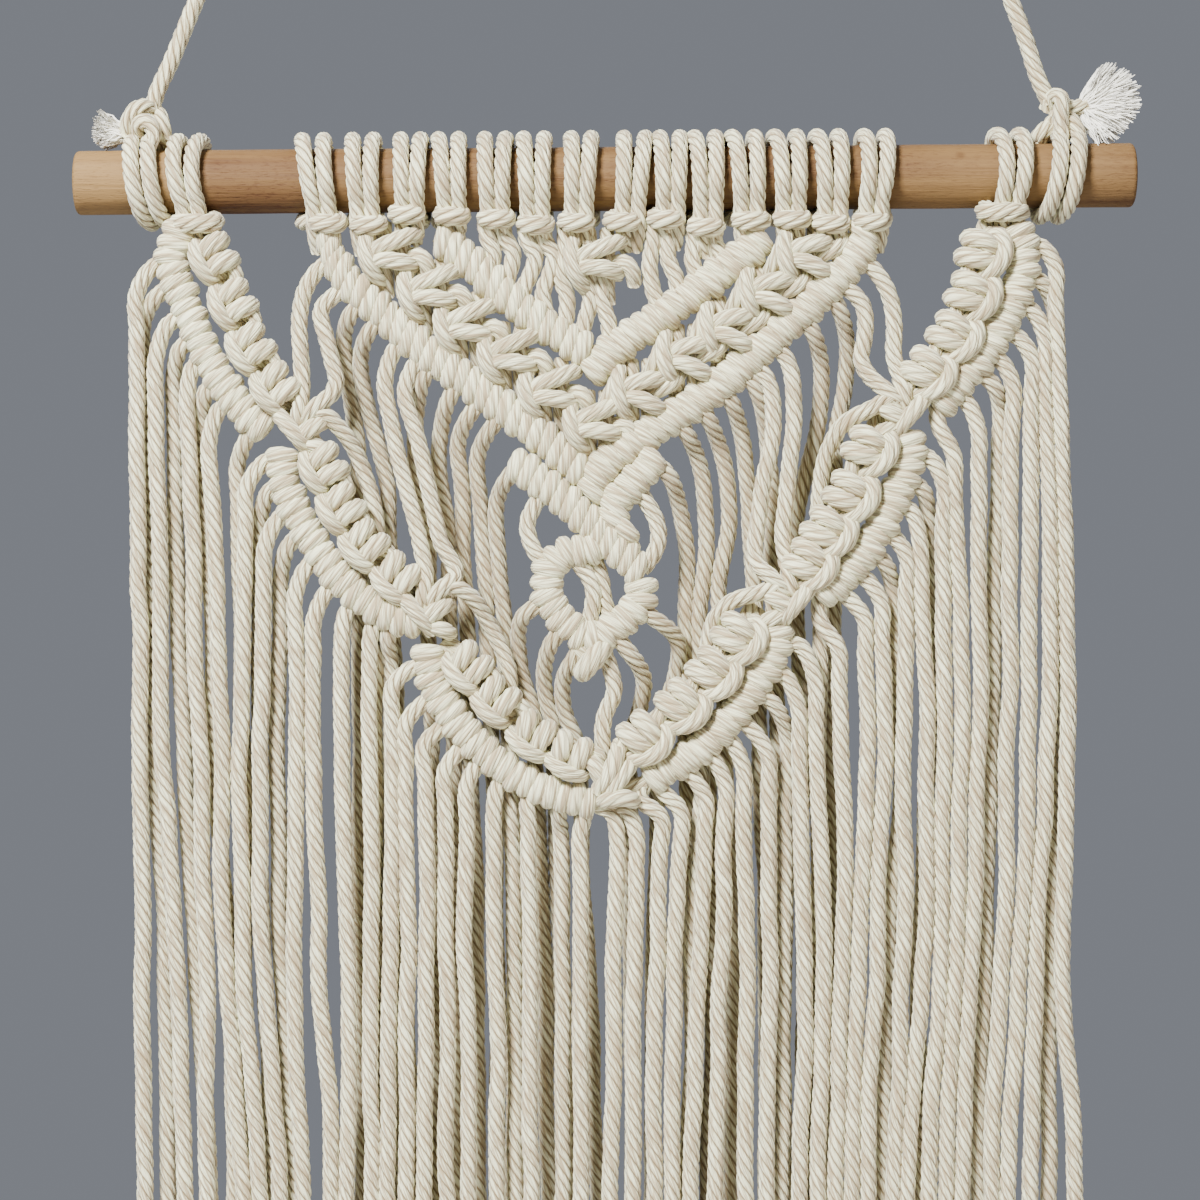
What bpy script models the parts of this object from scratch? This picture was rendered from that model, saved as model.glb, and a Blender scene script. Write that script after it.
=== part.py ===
"""Macrame wall hanging on a wooden dowel, hung by its cord from one nail.

Metres, +Z up, the front facing -Y. The origin is the nail, inside the bend at the top of
the hanging cord. The tables are in millimetres: "across" runs from the middle of the
dowel to the right, "drop" runs down from the dowel's axis, and "back" runs towards the wall.
"""

import math

import bmesh
import bpy
from mathutils import Matrix, Vector

MM = 0.001

CORD = 4.86  # three-ply cotton cord
CORD_SIDE = CORD * math.sqrt(math.pi) / 2  # a square strand of the round cord's section
DOWEL_LENGTH, DOWEL_RADIUS, DOWEL_EASING = 304.0, 9.15, 1.2
DOWEL_TILT = math.radians(0.43)
NAIL_ABOVE_DOWEL = 333.0
FRINGE_END = 360.0
CRUMB = 2.5  # a union's specks are smaller than this across

PANEL_BACK = -6.0  # the knotted work hangs from the front of the dowel
FRONT_LAYER, MIDDLE_LAYER, REAR_LAYER = -5.6, -0.7, 5.6  # where the fringe hangs
BAR_HALF_WIDTH, BAR_GROOVE_SHARE, BAR_FLATNESS = 5.1, 0.84, 0.84
DIAMOND_HALF_WIDTH = 4.5
RIDGE_PITCH = 7.7  # one strand's pair of hitches along a bar

# A head's strand goes once round the dowel, from the front over the top to below it.
RING_RADIUS, RING_STEPS, HEAD_STRAND = 12.6, 6, 4.1
RING_FROM, RING_TO = math.radians(-35), math.radians(265)
HEAD_REACH, HEAD_BAR_BACK, HEAD_BAR_WIDTH = 2.4, -9.0, 6.0

# Lark's heads on the dowel, left to right: middle of the two legs, middle of the bar.
HEADS = (  # across, bar_drop, legs_apart
    (-119.5, 14.2, 5.4),
    (-81.0, 14.0, 5.4),
    (-68.6, 14.6, 5.2),
    (-55.7, 11.6, 5.0),
    (-43.7, 12.0, 5.0),
    (-31.4, 12.8, 5.2),
    (-20.0, 14.4, 5.2),
    (-7.4, 13.8, 5.0),
    (7.3, 13.6, 5.4),
    (18.7, 12.9, 5.0),
    (29.4, 15.2, 5.2),
    (41.1, 13.4, 6.2),
    (53.0, 13.0, 6.0),
    (64.9, 14.1, 6.0),
    (76.7, 13.5, 5.8),
    (115.6, 10.9, 6.2),
)
SWAG_HEADS = (0, 15)

# Bars of double half hitches: across, drop of the middle line.
V_BARS = {
    "inner_v": (
        (-47.1, 16.5),
        (-38.6, 24.6),
        (-28.6, 33.1),
        (-18.6, 40.6),
        (-8.6, 46.9),
        (-0.6, 51.0),
        (8.3, 44.9),
        (16.3, 38.0),
        (25.7, 30.9),
        (35.0, 25.0),
        (44.3, 18.9),
    ),
    "outer_v": (
        (-80.8, 14.0),
        (-78.9, 19.0),
        (-73.4, 27.7),
        (-62.6, 37.4),
        (-52.3, 46.3),
        (-40.6, 54.9),
        (-29.7, 63.1),
        (-18.9, 71.4),
        (-8.0, 82.3),
        (-3.4, 87.0),
        (3.7, 79.4),
        (13.1, 71.4),
        (23.4, 62.6),
        (33.7, 54.9),
        (44.9, 46.3),
        (54.6, 37.4),
        (66.6, 24.9),
        (75.1, 18.9),
        (76.6, 14.5),
    ),
    "lower_v_left": (
        (-27.1, 80.6),
        (-18.0, 85.5),
        (-8.9, 91.1),
        (-1.7, 102.0),
        (7.7, 110.3),
        (13.1, 116.9),
    ),
    "lower_v_right": ((16.9, 81.1), (8.0, 88.6), (-1.1, 97.7)),
}
DIAMOND = (
    (-3.7, 107.4),
    (-12.0, 108.6),
    (-20.9, 112.9),
    (-18.6, 122.6),
    (-9.7, 131.0),
    (-1.4, 135.4),
    (6.9, 131.0),
    (14.3, 122.9),
    (13.1, 116.9),
    (6.5, 109.5),
)
DIAMOND_TIP = (-3.4, 138.6)
DIAMOND_CROSSING = (((-7.1, 110.9), (-4.0, 124.3)), ((-1.1, 110.9), (0.0, 122.9)))
SIDE_STRANDS = (
    ((-20.6, 91.5), (-22.6, 98.6), (-20.0, 107.5)),
    ((14.3, 93.0), (16.0, 102.0), (13.6, 110.3)),
)

# Square knots: the panel's lie upright, a swag's lean with its bar.
KNOT_ROUTE = (  # right, up, back from the knot's middle
    (6.2, 4.2, -1.2),
    (-3.9, 3.0, -2.2),
    (-3.9, -3.4, -2.2),
    (6.2, -3.6, -1.2),
)
KNOT_SWELL = (0.8, 1.0, 1.0, 0.8)
KNOT_STRAND_RADIUS = 2.6
KNOT_REACH, JOIN_REACH, CORE_WIDTH = 8.6, 6.0, 6.4
PANEL_KNOTS = (  # across, drop
    (-60.6, 22.6),
    (-49.4, 33.1),
    (-39.1, 42.9),
    (-26.6, 51.4),
    (-15.1, 61.7),
    (-2.3, 70.9),
    (10.0, 62.0),
    (23.1, 52.0),
    (35.1, 44.0),
    (46.6, 33.7),
    (57.4, 23.1),
    (-2.0, 24.6),
)
# Single strands between the dowel and the inner bar: across at the top, at the end, drop.
SHORT_TOP = 14.5
SHORT_STRANDS = (
    (-32.9, -30.0, 29.0),
    (-29.1, -26.3, 31.5),
    (-22.0, -22.9, 34.0),
    (-16.9, -16.3, 37.5),
    (-12.0, -9.7, 42.0),
    (-4.3, -5.1, 46.0),
    (2.0, 3.0, 45.0),
    (6.5, 8.0, 42.0),
    (13.5, 15.4, 36.5),
    (19.1, 21.7, 32.0),
    (26.0, 27.5, 27.5),
    (32.0, 33.5, 24.0),
)

# Swags, hung between the ends of the dowel: the hitched bar, and the row of square knots
# beside it. "side" is the way that the strands leave: -1 left, +1 right.
SWAGS = {
    "left_1": {
        "side": -1,
        "bar": (
            (-120.5, 14.5),
            (-123.7, 20.6),
            (-121.7, 28.9),
            (-117.7, 36.3),
            (-114.0, 45.1),
            (-109.7, 54.3),
            (-103.7, 62.6),
            (-98.0, 72.0),
            (-89.5, 73.0),
        ),
        "knots": ((-111.6, 23.4), (-106.2, 36.5), (-101.1, 49.1), (-94.0, 60.5)),
    },
    "left_2": {
        "side": -1,
        "bar": (
            (-92.0, 78.9),
            (-92.0, 86.9),
            (-87.1, 96.0),
            (-80.9, 105.4),
            (-73.7, 114.0),
            (-65.7, 121.7),
            (-57.7, 126.3),
            (-51.0, 126.4),
        ),
        "knots": ((-80.3, 83.4), (-75.3, 94.8), (-68.6, 105.4), (-59.4, 114.8)),
    },
    "left_3": {
        "side": -1,
        "bar": (
            (-51.3, 131.5),
            (-49.7, 143.7),
            (-46.0, 150.3),
            (-35.1, 163.1),
            (-22.0, 172.6),
            (-14.3, 176.0),
            (-1.7, 180.3),
        ),
        "knots": ((-39.0, 140.4), (-31.0, 149.8), (-20.6, 159.8), (-10.0, 165.6)),
    },
    "right_1": {
        "side": 1,
        "bar": (
            (116.4, 12.0),
            (119.7, 20.0),
            (118.6, 27.7),
            (116.9, 34.3),
            (114.3, 39.7),
            (110.3, 46.3),
            (106.6, 53.4),
            (102.6, 58.9),
            (97.7, 64.3),
            (91.7, 69.7),
            (86.5, 67.5),
        ),
        "knots": ((107.7, 22.0), (104.8, 34.0), (99.6, 45.6), (92.0, 56.0)),
    },
    "right_2": {
        "side": 1,
        "bar": (
            (86.9, 73.1),
            (86.3, 80.0),
            (83.7, 87.1),
            (80.3, 93.7),
            (76.6, 100.9),
            (72.3, 107.4),
            (66.9, 113.4),
            (62.3, 118.0),
            (54.5, 119.5),
        ),
        "knots": ((75.4, 78.0), (70.0, 91.1), (63.7, 101.4), (58.3, 110.6)),
    },
    "right_3": {
        "side": 1,
        "bar": (
            (50.6, 127.0),
            (48.6, 136.0),
            (44.9, 142.3),
            (40.9, 149.1),
            (35.1, 155.7),
            (28.0, 161.1),
            (21.1, 166.9),
            (14.0, 171.4),
            (8.0, 174.0),
        ),
        "knots": ((38.0, 131.7), (30.9, 141.7), (22.0, 151.1), (11.1, 160.3)),
    },
}
# Knots that join one swag to the next: middle, and the lean of the swag there in degrees.
JOINS = (  # across, drop, lean, mirrored
    (-82.0, 67.4, 35.0, False),
    (-46.5, 119.4, 35.0, False),
    (3.7, 176.4, 0.0, False),
    (47.7, 116.4, -35.0, True),
    (80.0, 62.9, -35.0, True),
)

# Fringe of the swags. Each strand leaves the outer side of its bar at "root", turns down
# at "shoulder", and hangs past three heights; "layer" keeps crossing strands apart.
LEVELS = (155.6, 225.4, 286.6)
SWAG_FRINGE = (  # root, shoulder, across at each level, layer
    ((-127.0, 24.9), (-133.8, 33.5), (-133.1, -132.3, -131.6), "front"),
    ((-126.6, 32.9), (-132.9, 42.6), (-130.0, -126.3, -125.7), "middle"),
    ((-123.4, 41.1), (-128.3, 52.6), (-126.9, -122.3, -120.0), "front"),
    ((-119.7, 47.4), (-124.0, 57.1), (-121.4, -117.4, -113.7), "middle"),
    ((-116.6, 53.1), (-119.4, 62.9), (-116.3, -114.0, -114.0), "front"),
    ((-113.1, 60.0), (-115.7, 70.0), (-112.3, -108.6, -106.3), "middle"),
    ((-109.4, 65.7), (-113.1, 75.7), (-110.0, -108.6, -103.5), "front"),
    ((-101.1, 73.1), (-105.7, 82.9), (-104.0, -103.7, -102.3), "middle"),
    ((-95.4, 80.9), (-102.3, 88.6), (-104.0, -103.2, -98.5), "front"),
    ((-94.9, 89.1), (-98.9, 98.0), (-98.9, -98.3, -95.4), "middle"),
    ((-92.3, 96.9), (-97.1, 106.0), (-98.5, -97.6, -93.0), "front"),
    ((-89.1, 104.0), (-92.9, 113.1), (-94.0, -93.0, -89.0), "middle"),
    ((-84.3, 110.6), (-88.6, 120.0), (-88.0, -89.0, -86.5), "front"),
    ((-79.4, 118.3), (-83.4, 127.1), (-83.4, -81.4, -78.3), "front"),
    ((-74.0, 124.6), (-75.4, 133.7), (-75.4, -73.1, -74.0), "front"),
    ((-66.6, 129.7), (-66.9, 137.1), (-66.6, -66.9, -66.6), "front"),
    ((-62.0, 130.9), (-61.7, 138.0), (-62.2, -61.5, -61.0), "middle"),
    ((-53.4, 140.0), (-60.6, 145.7), (-61.7, -61.4, -62.0), "front"),
    ((-52.0, 150.6), (-57.1, 156.6), (-57.4, -56.3, -57.1), "front"),
    ((-46.6, 157.7), (-51.4, 162.3), (-52.0, -51.1, -51.7), "front"),
    ((-41.7, 164.3), (-45.4, 169.4), (-45.7, -45.4, -45.1), "front"),
    ((-37.1, 168.9), (-39.7, 174.3), (-40.0, -39.7, -38.9), "front"),
    ((-30.6, 174.3), (-31.7, 181.4), (-31.7, -30.9, -30.9), "front"),
    ((-22.0, 178.0), (-21.7, 185.0), (-21.7, -21.4, -21.4), "front"),
    ((-13.1, 180.0), (-12.9, 187.0), (-13.0, -12.3, -11.9), "middle"),
    ((-5.4, 181.5), (-7.1, 188.0), (-7.1, -7.1, -7.1), "front"),
    ((2.0, 182.0), (3.4, 189.0), (3.4, 2.9, 1.8), "front"),
    ((6.3, 181.4), (8.9, 188.0), (8.9, 8.3, 7.8), "front"),
    ((9.7, 177.4), (16.0, 183.0), (16.2, 15.0, 13.8), "front"),
    ((16.3, 175.4), (21.4, 181.0), (21.4, 20.3, 18.7), "front"),
    ((24.6, 171.0), (28.6, 177.4), (28.6, 26.9, 24.6), "front"),
    ((30.3, 165.4), (34.6, 174.0), (34.6, 33.1, 31.4), "front"),
    ((35.7, 161.0), (39.7, 169.7), (40.9, 40.6, 40.3), "front"),
    ((40.9, 157.0), (46.9, 165.7), (48.0, 47.1, 46.3), "front"),
    ((47.4, 150.0), (52.0, 160.0), (53.1, 51.5, 51.0), "middle"),
    ((50.9, 142.0), (55.4, 152.0), (57.1, 57.1, 55.5), "front"),
    ((54.9, 133.7), (60.0, 143.7), (62.6, 62.6, 61.1), "front"),
    ((61.7, 127.0), (66.9, 134.6), (67.7, 67.7, 66.0), "front"),
    ((69.7, 120.6), (74.0, 126.0), (75.4, 72.6, 70.6), "front"),
    ((75.4, 115.7), (79.1, 121.4), (80.0, 77.5, 75.1), "front"),
    ((79.4, 109.7), (82.6, 116.9), (84.9, 81.5, 79.5), "middle"),
    ((82.6, 103.1), (86.3, 108.6), (85.3, 85.4, 82.6), "front"),
    ((87.4, 95.4), (89.9, 103.0), (92.3, 91.0, 86.6), "front"),
    ((90.3, 88.9), (93.0, 97.0), (93.5, 90.4, 91.5), "middle"),
    ((92.0, 80.0), (96.9, 88.0), (97.4, 95.7, 92.3), "front"),
    ((95.1, 70.0), (99.7, 79.4), (102.0, 100.3, 97.4), "front"),
    ((103.4, 64.3), (106.9, 73.0), (107.1, 104.9, 102.0), "front"),
    ((111.1, 59.4), (113.7, 66.0), (111.1, 109.5, 106.9), "middle"),
    ((112.6, 52.0), (116.6, 60.0), (115.4, 113.4, 110.6), "front"),
    ((118.3, 46.0), (122.0, 52.0), (121.1, 118.9, 115.1), "front"),
    ((121.4, 37.7), (126.3, 46.0), (127.1, 122.9, 122.0), "front"),
    ((123.7, 29.4), (129.0, 38.0), (129.1, 128.3, 127.1), "middle"),
    ((123.6, 19.5), (128.6, 25.0), (132.6, 130.9, 134.3), "front"),
)

# Strands of the panel that hang behind the swags: route points, then the last two levels.
PANEL_FRINGE = (  # route, across at the last two levels
    (((-72.0, 38.5), (-74.9, 45.4), (-73.7, 56.9), (-70.9, 78.3)), (-70.9, -70.0)),
    (((-66.6, 43.5), (-70.0, 51.1), (-68.9, 64.0), (-62.9, 89.7)), (-58.0, -55.1)),
    (((-50.9, 56.0), (-54.3, 66.0), (-55.1, 79.0), (-51.4, 102.0)), (-49.0, -48.6)),
    (((-43.4, 61.5), (-47.1, 71.1), (-48.3, 80.0), (-45.5, 102.0)), (-43.0, -42.9)),
    (((-37.5, 66.5), (-42.3, 75.4), (-41.0, 90.0), (-40.5, 112.0)), (-37.1, -36.5)),
    (((-31.5, 70.5), (-36.3, 78.3), (-36.0, 95.0), (-34.5, 118.3)), (-31.0, -31.5)),
    (((-26.5, 84.5), (-30.6, 91.0), (-30.5, 110.0), (-29.0, 128.0)), (-25.5, -26.5)),
    (((-21.5, 124.0), (-25.1, 130.0), (-24.6, 139.7), (-20.0, 157.0)), (-18.0, -16.3)),
    (((-14.0, 131.5), (-17.4, 140.3), (-17.1, 149.1), (-15.1, 159.0)), (-12.9, -10.5)),
    (((-8.0, 136.5), (-12.0, 144.6), (-11.5, 153.4), (-8.5, 161.0)), (-5.1, -2.6)),
    (((6.0, 135.0), (11.4, 143.7), (10.6, 152.3), (7.0, 164.0)), (8.0, 8.0)),
    (((13.5, 126.0), (21.1, 133.1), (20.6, 142.3), (16.0, 156.0)), (14.0, 13.7)),
    (((17.5, 84.5), (21.0, 93.1), (23.0, 104.0), (22.9, 139.7)), (25.0, 24.9)),
    (((22.5, 72.0), (26.3, 79.1), (29.5, 101.1), (27.5, 131.0)), (31.0, 30.0)),
    (((28.5, 67.5), (32.9, 76.6), (36.0, 98.3), (33.0, 118.3)), (36.9, 36.5)),
    (((35.0, 62.5), (39.1, 72.0), (41.4, 88.0), (42.6, 104.0)), (46.6, 46.6)),
    (((41.5, 58.0), (46.0, 70.0), (47.5, 80.0), (48.5, 93.0)), (51.4, 52.0)),
    (((58.5, 43.0), (62.3, 52.0), (61.4, 72.0), (55.7, 96.6)), (57.5, 58.0)),
    (((65.5, 35.5), (69.5, 46.0), (69.7, 57.0), (67.0, 75.0)), (64.5, 63.0)),
)
# Strands of the panel that end in a join: route.
PANEL_TIES = (
    ((-80.5, 25.5), (-85.1, 31.1), (-87.4, 41.1), (-86.6, 52.0)),
    ((-76.5, 33.5), (-80.9, 37.4), (-79.7, 46.9), (-77.0, 57.5)),
    ((-60.0, 49.5), (-62.6, 56.9), (-61.1, 69.7), (-53.3, 104.0)),
    ((-54.5, 54.0), (-57.0, 60.5), (-54.0, 72.6), (-46.9, 104.0)),
    ((1.5, 141.0), (2.6, 147.0), (-0.2, 154.5), (-0.6, 159.3)),
    ((51.5, 51.5), (54.1, 66.7), (53.1, 80.9), (50.8, 101.0)),
    ((45.8, 57.0), (48.3, 71.0), (45.4, 85.7), (43.1, 101.0)),
    ((69.5, 32.0), (73.4, 36.0), (74.6, 45.7), (73.5, 51.5)),
    ((75.7, 25.4), (80.0, 31.1), (82.6, 42.9), (82.0, 50.0)),
)
# Strands that leave a join and hang in the middle layer: route, last two levels.
JOIN_FRINGE = (
    (((-81.5, 67.5), (-76.3, 71.5), (-70.0, 82.0), (-65.4, 98.9)), (-66.0, -64.0)),
    (((-44.5, 117.0), (-39.1, 119.4), (-33.5, 128.0), (-28.0, 141.5)), (-26.0, -25.5)),
    (((44.5, 119.0), (36.5, 121.5), (31.0, 128.0), (29.4, 135.4)), (25.5, 24.0)),
    (((76.0, 66.5), (68.3, 70.5), (63.5, 79.5), (62.0, 91.1)), (60.5, 58.5)),
)

# The hanging cord. Its two legs run straight from the bend over the nail to a knot above
# the dowel, where each end is wrapped twice round the dowel and then frays out.
NAIL_BEND = ((0.0, -335.5), (2.6, -334.3), (4.8, -330.0), (8.0, -321.5))  # across, drop
LEGS = {  # across, drop
    -1: ((-118.0, -50.3), (-125.2, -33.1), (-130.0, -19.5)),
    1: ((117.3, -50.3), (121.7, -38.9), (129.0, -22.0)),
}
HANGER_KNOTS = {-1: (-131.3, -15.8), 1: (130.3, -17.5)}  # across, drop
HANGER_KNOT_RADIUS, HANGER_KNOT_REACH = 4.3, 5.6
WRAP_RADIUS, WRAP_TURNS, WRAP_STEPS = 13.4, 2, 8
WRAPS = {-1: (-135.4, 4.2), 1: (135.7, -4.8)}  # across at the first turn, shift at each turn
FRAYS = {  # root, tips
    -1: (
        (-134.5, -14.8),
        ((-143.8, -21.0), (-143.5, -17.3), (-146.5, -13.7), (-145.5, -9.8)),
    ),
    1: (
        (133.0, -20.0),
        (
            (143.5, -33.0),
            (148.0, -34.6),
            (151.5, -30.5),
            (153.8, -25.5),
            (153.8, -20.5),
            (149.8, -15.5),
            (147.0, -11.0),
        ),
    ),
}
LOCK_ROOT, LOCK_TIP, LOCK_DEPTHS = 1.9, 0.5, (-2.4, 1.6, -0.6)

COLOURS = {  # colour, roughness
    "cotton_cord": ((0.72, 0.66, 0.55), 0.92),
    "hanging_cotton": ((0.75, 0.69, 0.58), 0.92),
    "raw_wood": ((0.58, 0.36, 0.20), 0.62),
}


def at(across, drop, back=0.0):
    """The place of a point of the tables, in metres."""
    return Vector((across, back, -drop - NAIL_ABOVE_DOWEL)) * MM


def tilted(across, height, back):
    """A point given along and above the dowel's own axis."""
    turn = math.cos(DOWEL_TILT), math.sin(DOWEL_TILT)
    return at(across * turn[0] - height * turn[1], -across * turn[1] - height * turn[0], back)


def material(name):
    colour, roughness = COLOURS[name]
    made = bpy.data.materials.new(name)
    made.use_nodes = True
    shader = made.node_tree.nodes["Principled BSDF"]
    shader.inputs["Base Color"].default_value = (*colour, 1.0)
    shader.inputs["Roughness"].default_value = roughness
    made.diffuse_color = (*colour, 1.0)
    return made


def collection(name, helper=False):
    made = bpy.data.collections.new(name)
    made.hide_render = helper
    bpy.context.scene.collection.children.link(made)
    return made


def smooth(points, steps):
    """Points of a smooth curve through the given ones, each span cut into steps."""
    ends = [points[0] * 2 - points[1], *points, points[-1] * 2 - points[-2]]
    found = []
    for a, b, c, d in zip(ends, ends[1:], ends[2:], ends[3:]):
        for k in range(steps):
            t = k / steps
            found.append(
                0.5
                * (
                    2 * b
                    + (c - a) * t
                    + (2 * a - 5 * b + 4 * c - d) * t**2
                    + (3 * b - a - 3 * c + d) * t**3
                )
            )
    return [*found, points[-1].copy()]


def spaced(points, pitch):
    """Points at even distances of about pitch along the line through the given ones."""
    lengths = [(b - a).length for a, b in zip(points, points[1:])]
    count = max(2, round(sum(lengths) / pitch))
    found, span, walked = [], 0, 0.0
    for k in range(count + 1):
        target = sum(lengths) * k / count
        while span < len(lengths) - 1 and walked + lengths[span] < target:
            walked += lengths[span]
            span += 1
        share = (target - walked) / lengths[span]
        found.append(points[span].lerp(points[span + 1], share))
    return found


def tube(name, points, radius, sides=4, swell=None, closed=False):
    """A closed mesh tube; swell gives each point's share of the radius."""
    curve = bpy.data.curves.new(name, "CURVE")
    curve.dimensions = "3D"
    curve.bevel_depth = radius * MM
    curve.bevel_resolution = sides // 2 - 2
    curve.use_fill_caps = True
    curve.twist_mode = "MINIMUM"
    spline = curve.splines.new("POLY")
    spline.points.add(len(points) - 1)
    spline.use_cyclic_u = closed
    for k, (place, point) in enumerate(zip(points, spline.points)):
        point.co = (*place, 1.0)
        point.radius = swell[k] if swell else 1.0
        point.tilt = math.pi / 4 if sides == 4 else 0.0
    drawn = bpy.data.objects.new(name, curve)
    bpy.context.scene.collection.objects.link(drawn)
    bpy.context.view_layer.update()
    graph = bpy.context.evaluated_depsgraph_get()
    mesh = bpy.data.meshes.new_from_object(drawn.evaluated_get(graph))
    world = drawn.matrix_world.copy()
    bpy.data.objects.remove(drawn)
    shape = bmesh.new()
    shape.from_mesh(mesh)
    bmesh.ops.remove_doubles(shape, verts=shape.verts, dist=1e-6)
    bmesh.ops.recalc_face_normals(shape, faces=shape.faces)
    shape.to_mesh(mesh)
    shape.free()
    made = bpy.data.objects.new(name, mesh)
    made.matrix_world = world
    return made


def strand(name, points, width=CORD_SIDE, swell=None):
    """A square tube with flat sides to the front."""
    return tube(name, points, width / math.sqrt(2), 4, swell)


def straightened(points, tolerance=1.4):
    """The points without those that lie this near the line between the ones kept."""
    if len(points) < 3:
        return points
    run = (points[-1] - points[0]).normalized()
    offsets = [(p - points[0] - run * (p - points[0]).dot(run)).length for p in points]
    far = max(range(1, len(points) - 1), key=lambda k: offsets[k])
    if offsets[far] < tolerance * MM:
        return [points[0], points[-1]]
    head = straightened(points[: far + 1], tolerance)
    return [*head, *straightened(points[far:], tolerance)[1:]]


def nearest(routes, place):
    """The point nearest to this place on the lines of the given routes."""
    place = Vector(place)
    found = []
    for route in routes:
        for a, b in zip(route, route[1:]):
            a, b = Vector(a), Vector(b)
            share = (place - a).dot(b - a) / (b - a).length_squared
            found.append(a.lerp(b, min(1.0, max(0.0, share))))
    return min(found, key=lambda spot: (spot - place).length)


def ridged_bar(name, route, closed=False, half_width=BAR_HALF_WIDTH):
    """A bar of hitches: a full ring at each hitch and a groove between two."""
    line = smooth([at(*place, PANEL_BACK) for place in route], 4)
    points = spaced(line, RIDGE_PITCH * MM / 2)
    if closed:
        points = points[:-1]
    swell = [1.0 if k % 2 else BAR_GROOVE_SHARE for k in range(len(points))]
    bar = tube(name, points, half_width * math.sqrt(2), 4, swell, closed)
    for vertex in bar.data.vertices:
        vertex.co.y = PANEL_BACK * MM + (vertex.co.y - PANEL_BACK * MM) * BAR_FLATNESS
    return bar


def heads_of(name, numbers):
    """Lark's heads: two strands round the dowel, and the bar in front that holds them."""
    pieces = []
    for number in numbers:
        across, bar_drop, legs_apart = HEADS[number]
        bar_height = -bar_drop - across * math.sin(DOWEL_TILT)
        for side in (-1, 1):
            leg = across + side * legs_apart / 2
            points = [tilted(leg, bar_height, HEAD_BAR_BACK)]
            for k in range(RING_STEPS + 1):
                turn = RING_FROM + (RING_TO - RING_FROM) * k / RING_STEPS
                height, back = RING_RADIUS * math.sin(turn), -RING_RADIUS * math.cos(turn)
                points.append(tilted(leg, height, back))
            points.append(tilted(leg, bar_height, HEAD_BAR_BACK + 1.0))
            pieces.append(strand(f"{name}_leg", points, HEAD_STRAND))
        reach = legs_apart / 2 + HEAD_REACH
        bar = [
            tilted(across + share * reach, bar_height, HEAD_BAR_BACK) for share in (-1, 0, 1)
        ]
        pieces.append(strand(f"{name}_bar", bar, HEAD_BAR_WIDTH, (0.75, 1.0, 0.75)))
    return pieces


def square_knot(name, across, drop, lean, mirrored=False):
    """A square knot from the front: one strand that rounds the core, open to one side."""
    side = -1 if mirrored else 1
    turn = Matrix.Rotation(lean, 2)
    line = []
    for right, up, back in KNOT_ROUTE:
        turned = turn @ Vector((right * side, up))
        line.append(at(across + turned.x, drop - turned.y, PANEL_BACK + back))
    return tube(name, line, KNOT_STRAND_RADIUS * math.sqrt(2), 4, KNOT_SWELL)


def core(name, across, drop, reach):
    """The strands that a knot is tied round."""
    ends = (at(across, drop - reach, PANEL_BACK), at(across, drop + reach, PANEL_BACK))
    return strand(name, ends, CORE_WIDTH)


def hanging(name, points, across_at_levels, levels):
    """A strand from its root down past the levels to the trimmed end of the fringe."""
    back = points[-1].y / MM
    shoulder = -points[-1].z / MM - NAIL_ABOVE_DOWEL
    below = [
        at(across, drop, back)
        for across, drop in zip(across_at_levels, levels)
        if drop > shoulder + CORD
    ]
    end = at(across_at_levels[-1], FRINGE_END, back)
    return strand(name, [points[0], *straightened([*points[1:], *below, end])])


def panel_pieces():
    pieces = [ridged_bar(name, route) for name, route in V_BARS.items()]
    pieces += heads_of("panel_head", [n for n in range(len(HEADS)) if n not in SWAG_HEADS])
    diamond = (*DIAMOND, DIAMOND[0])
    pieces.append(ridged_bar("diamond", diamond, True, DIAMOND_HALF_WIDTH))
    tip = [at(DIAMOND_TIP[0], DIAMOND_TIP[1] + fall, PANEL_BACK) for fall in (-4.0, 0.0, 3.5)]
    pieces.append(strand("diamond_tip", tip, CORE_WIDTH, (0.8, 1.0, 0.7)))
    for route in (*DIAMOND_CROSSING, *SIDE_STRANDS):
        pieces.append(strand("diamond_strand", [at(*place, PANEL_BACK) for place in route]))
    for across, drop in PANEL_KNOTS:
        pieces.append(square_knot("panel_knot", across, drop, 0.0))
        pieces.append(core("panel_core", across, drop, KNOT_REACH))
    for top, foot, drop in SHORT_STRANDS:
        line = (at(top, SHORT_TOP, HEAD_BAR_BACK), at(foot, drop, PANEL_BACK))
        pieces.append(strand("short_strand", line))
    bars = [*V_BARS.values(), diamond]
    for route, last in PANEL_FRINGE:
        depths = (PANEL_BACK, 0.5, 4.6, REAR_LAYER)
        points = [at(*place, back) for place, back in zip(route, depths)]
        points[0] = at(*nearest(bars, route[0]), PANEL_BACK + 1.0)
        pieces.append(hanging("panel_fringe", points, last, LEVELS[1:]))
    for route in PANEL_TIES:
        points = [at(*place, PANEL_BACK) for place in (nearest(bars, route[0]), *route[1:])]
        pieces.append(strand("panel_tie", straightened(points)))
    return pieces


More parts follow.
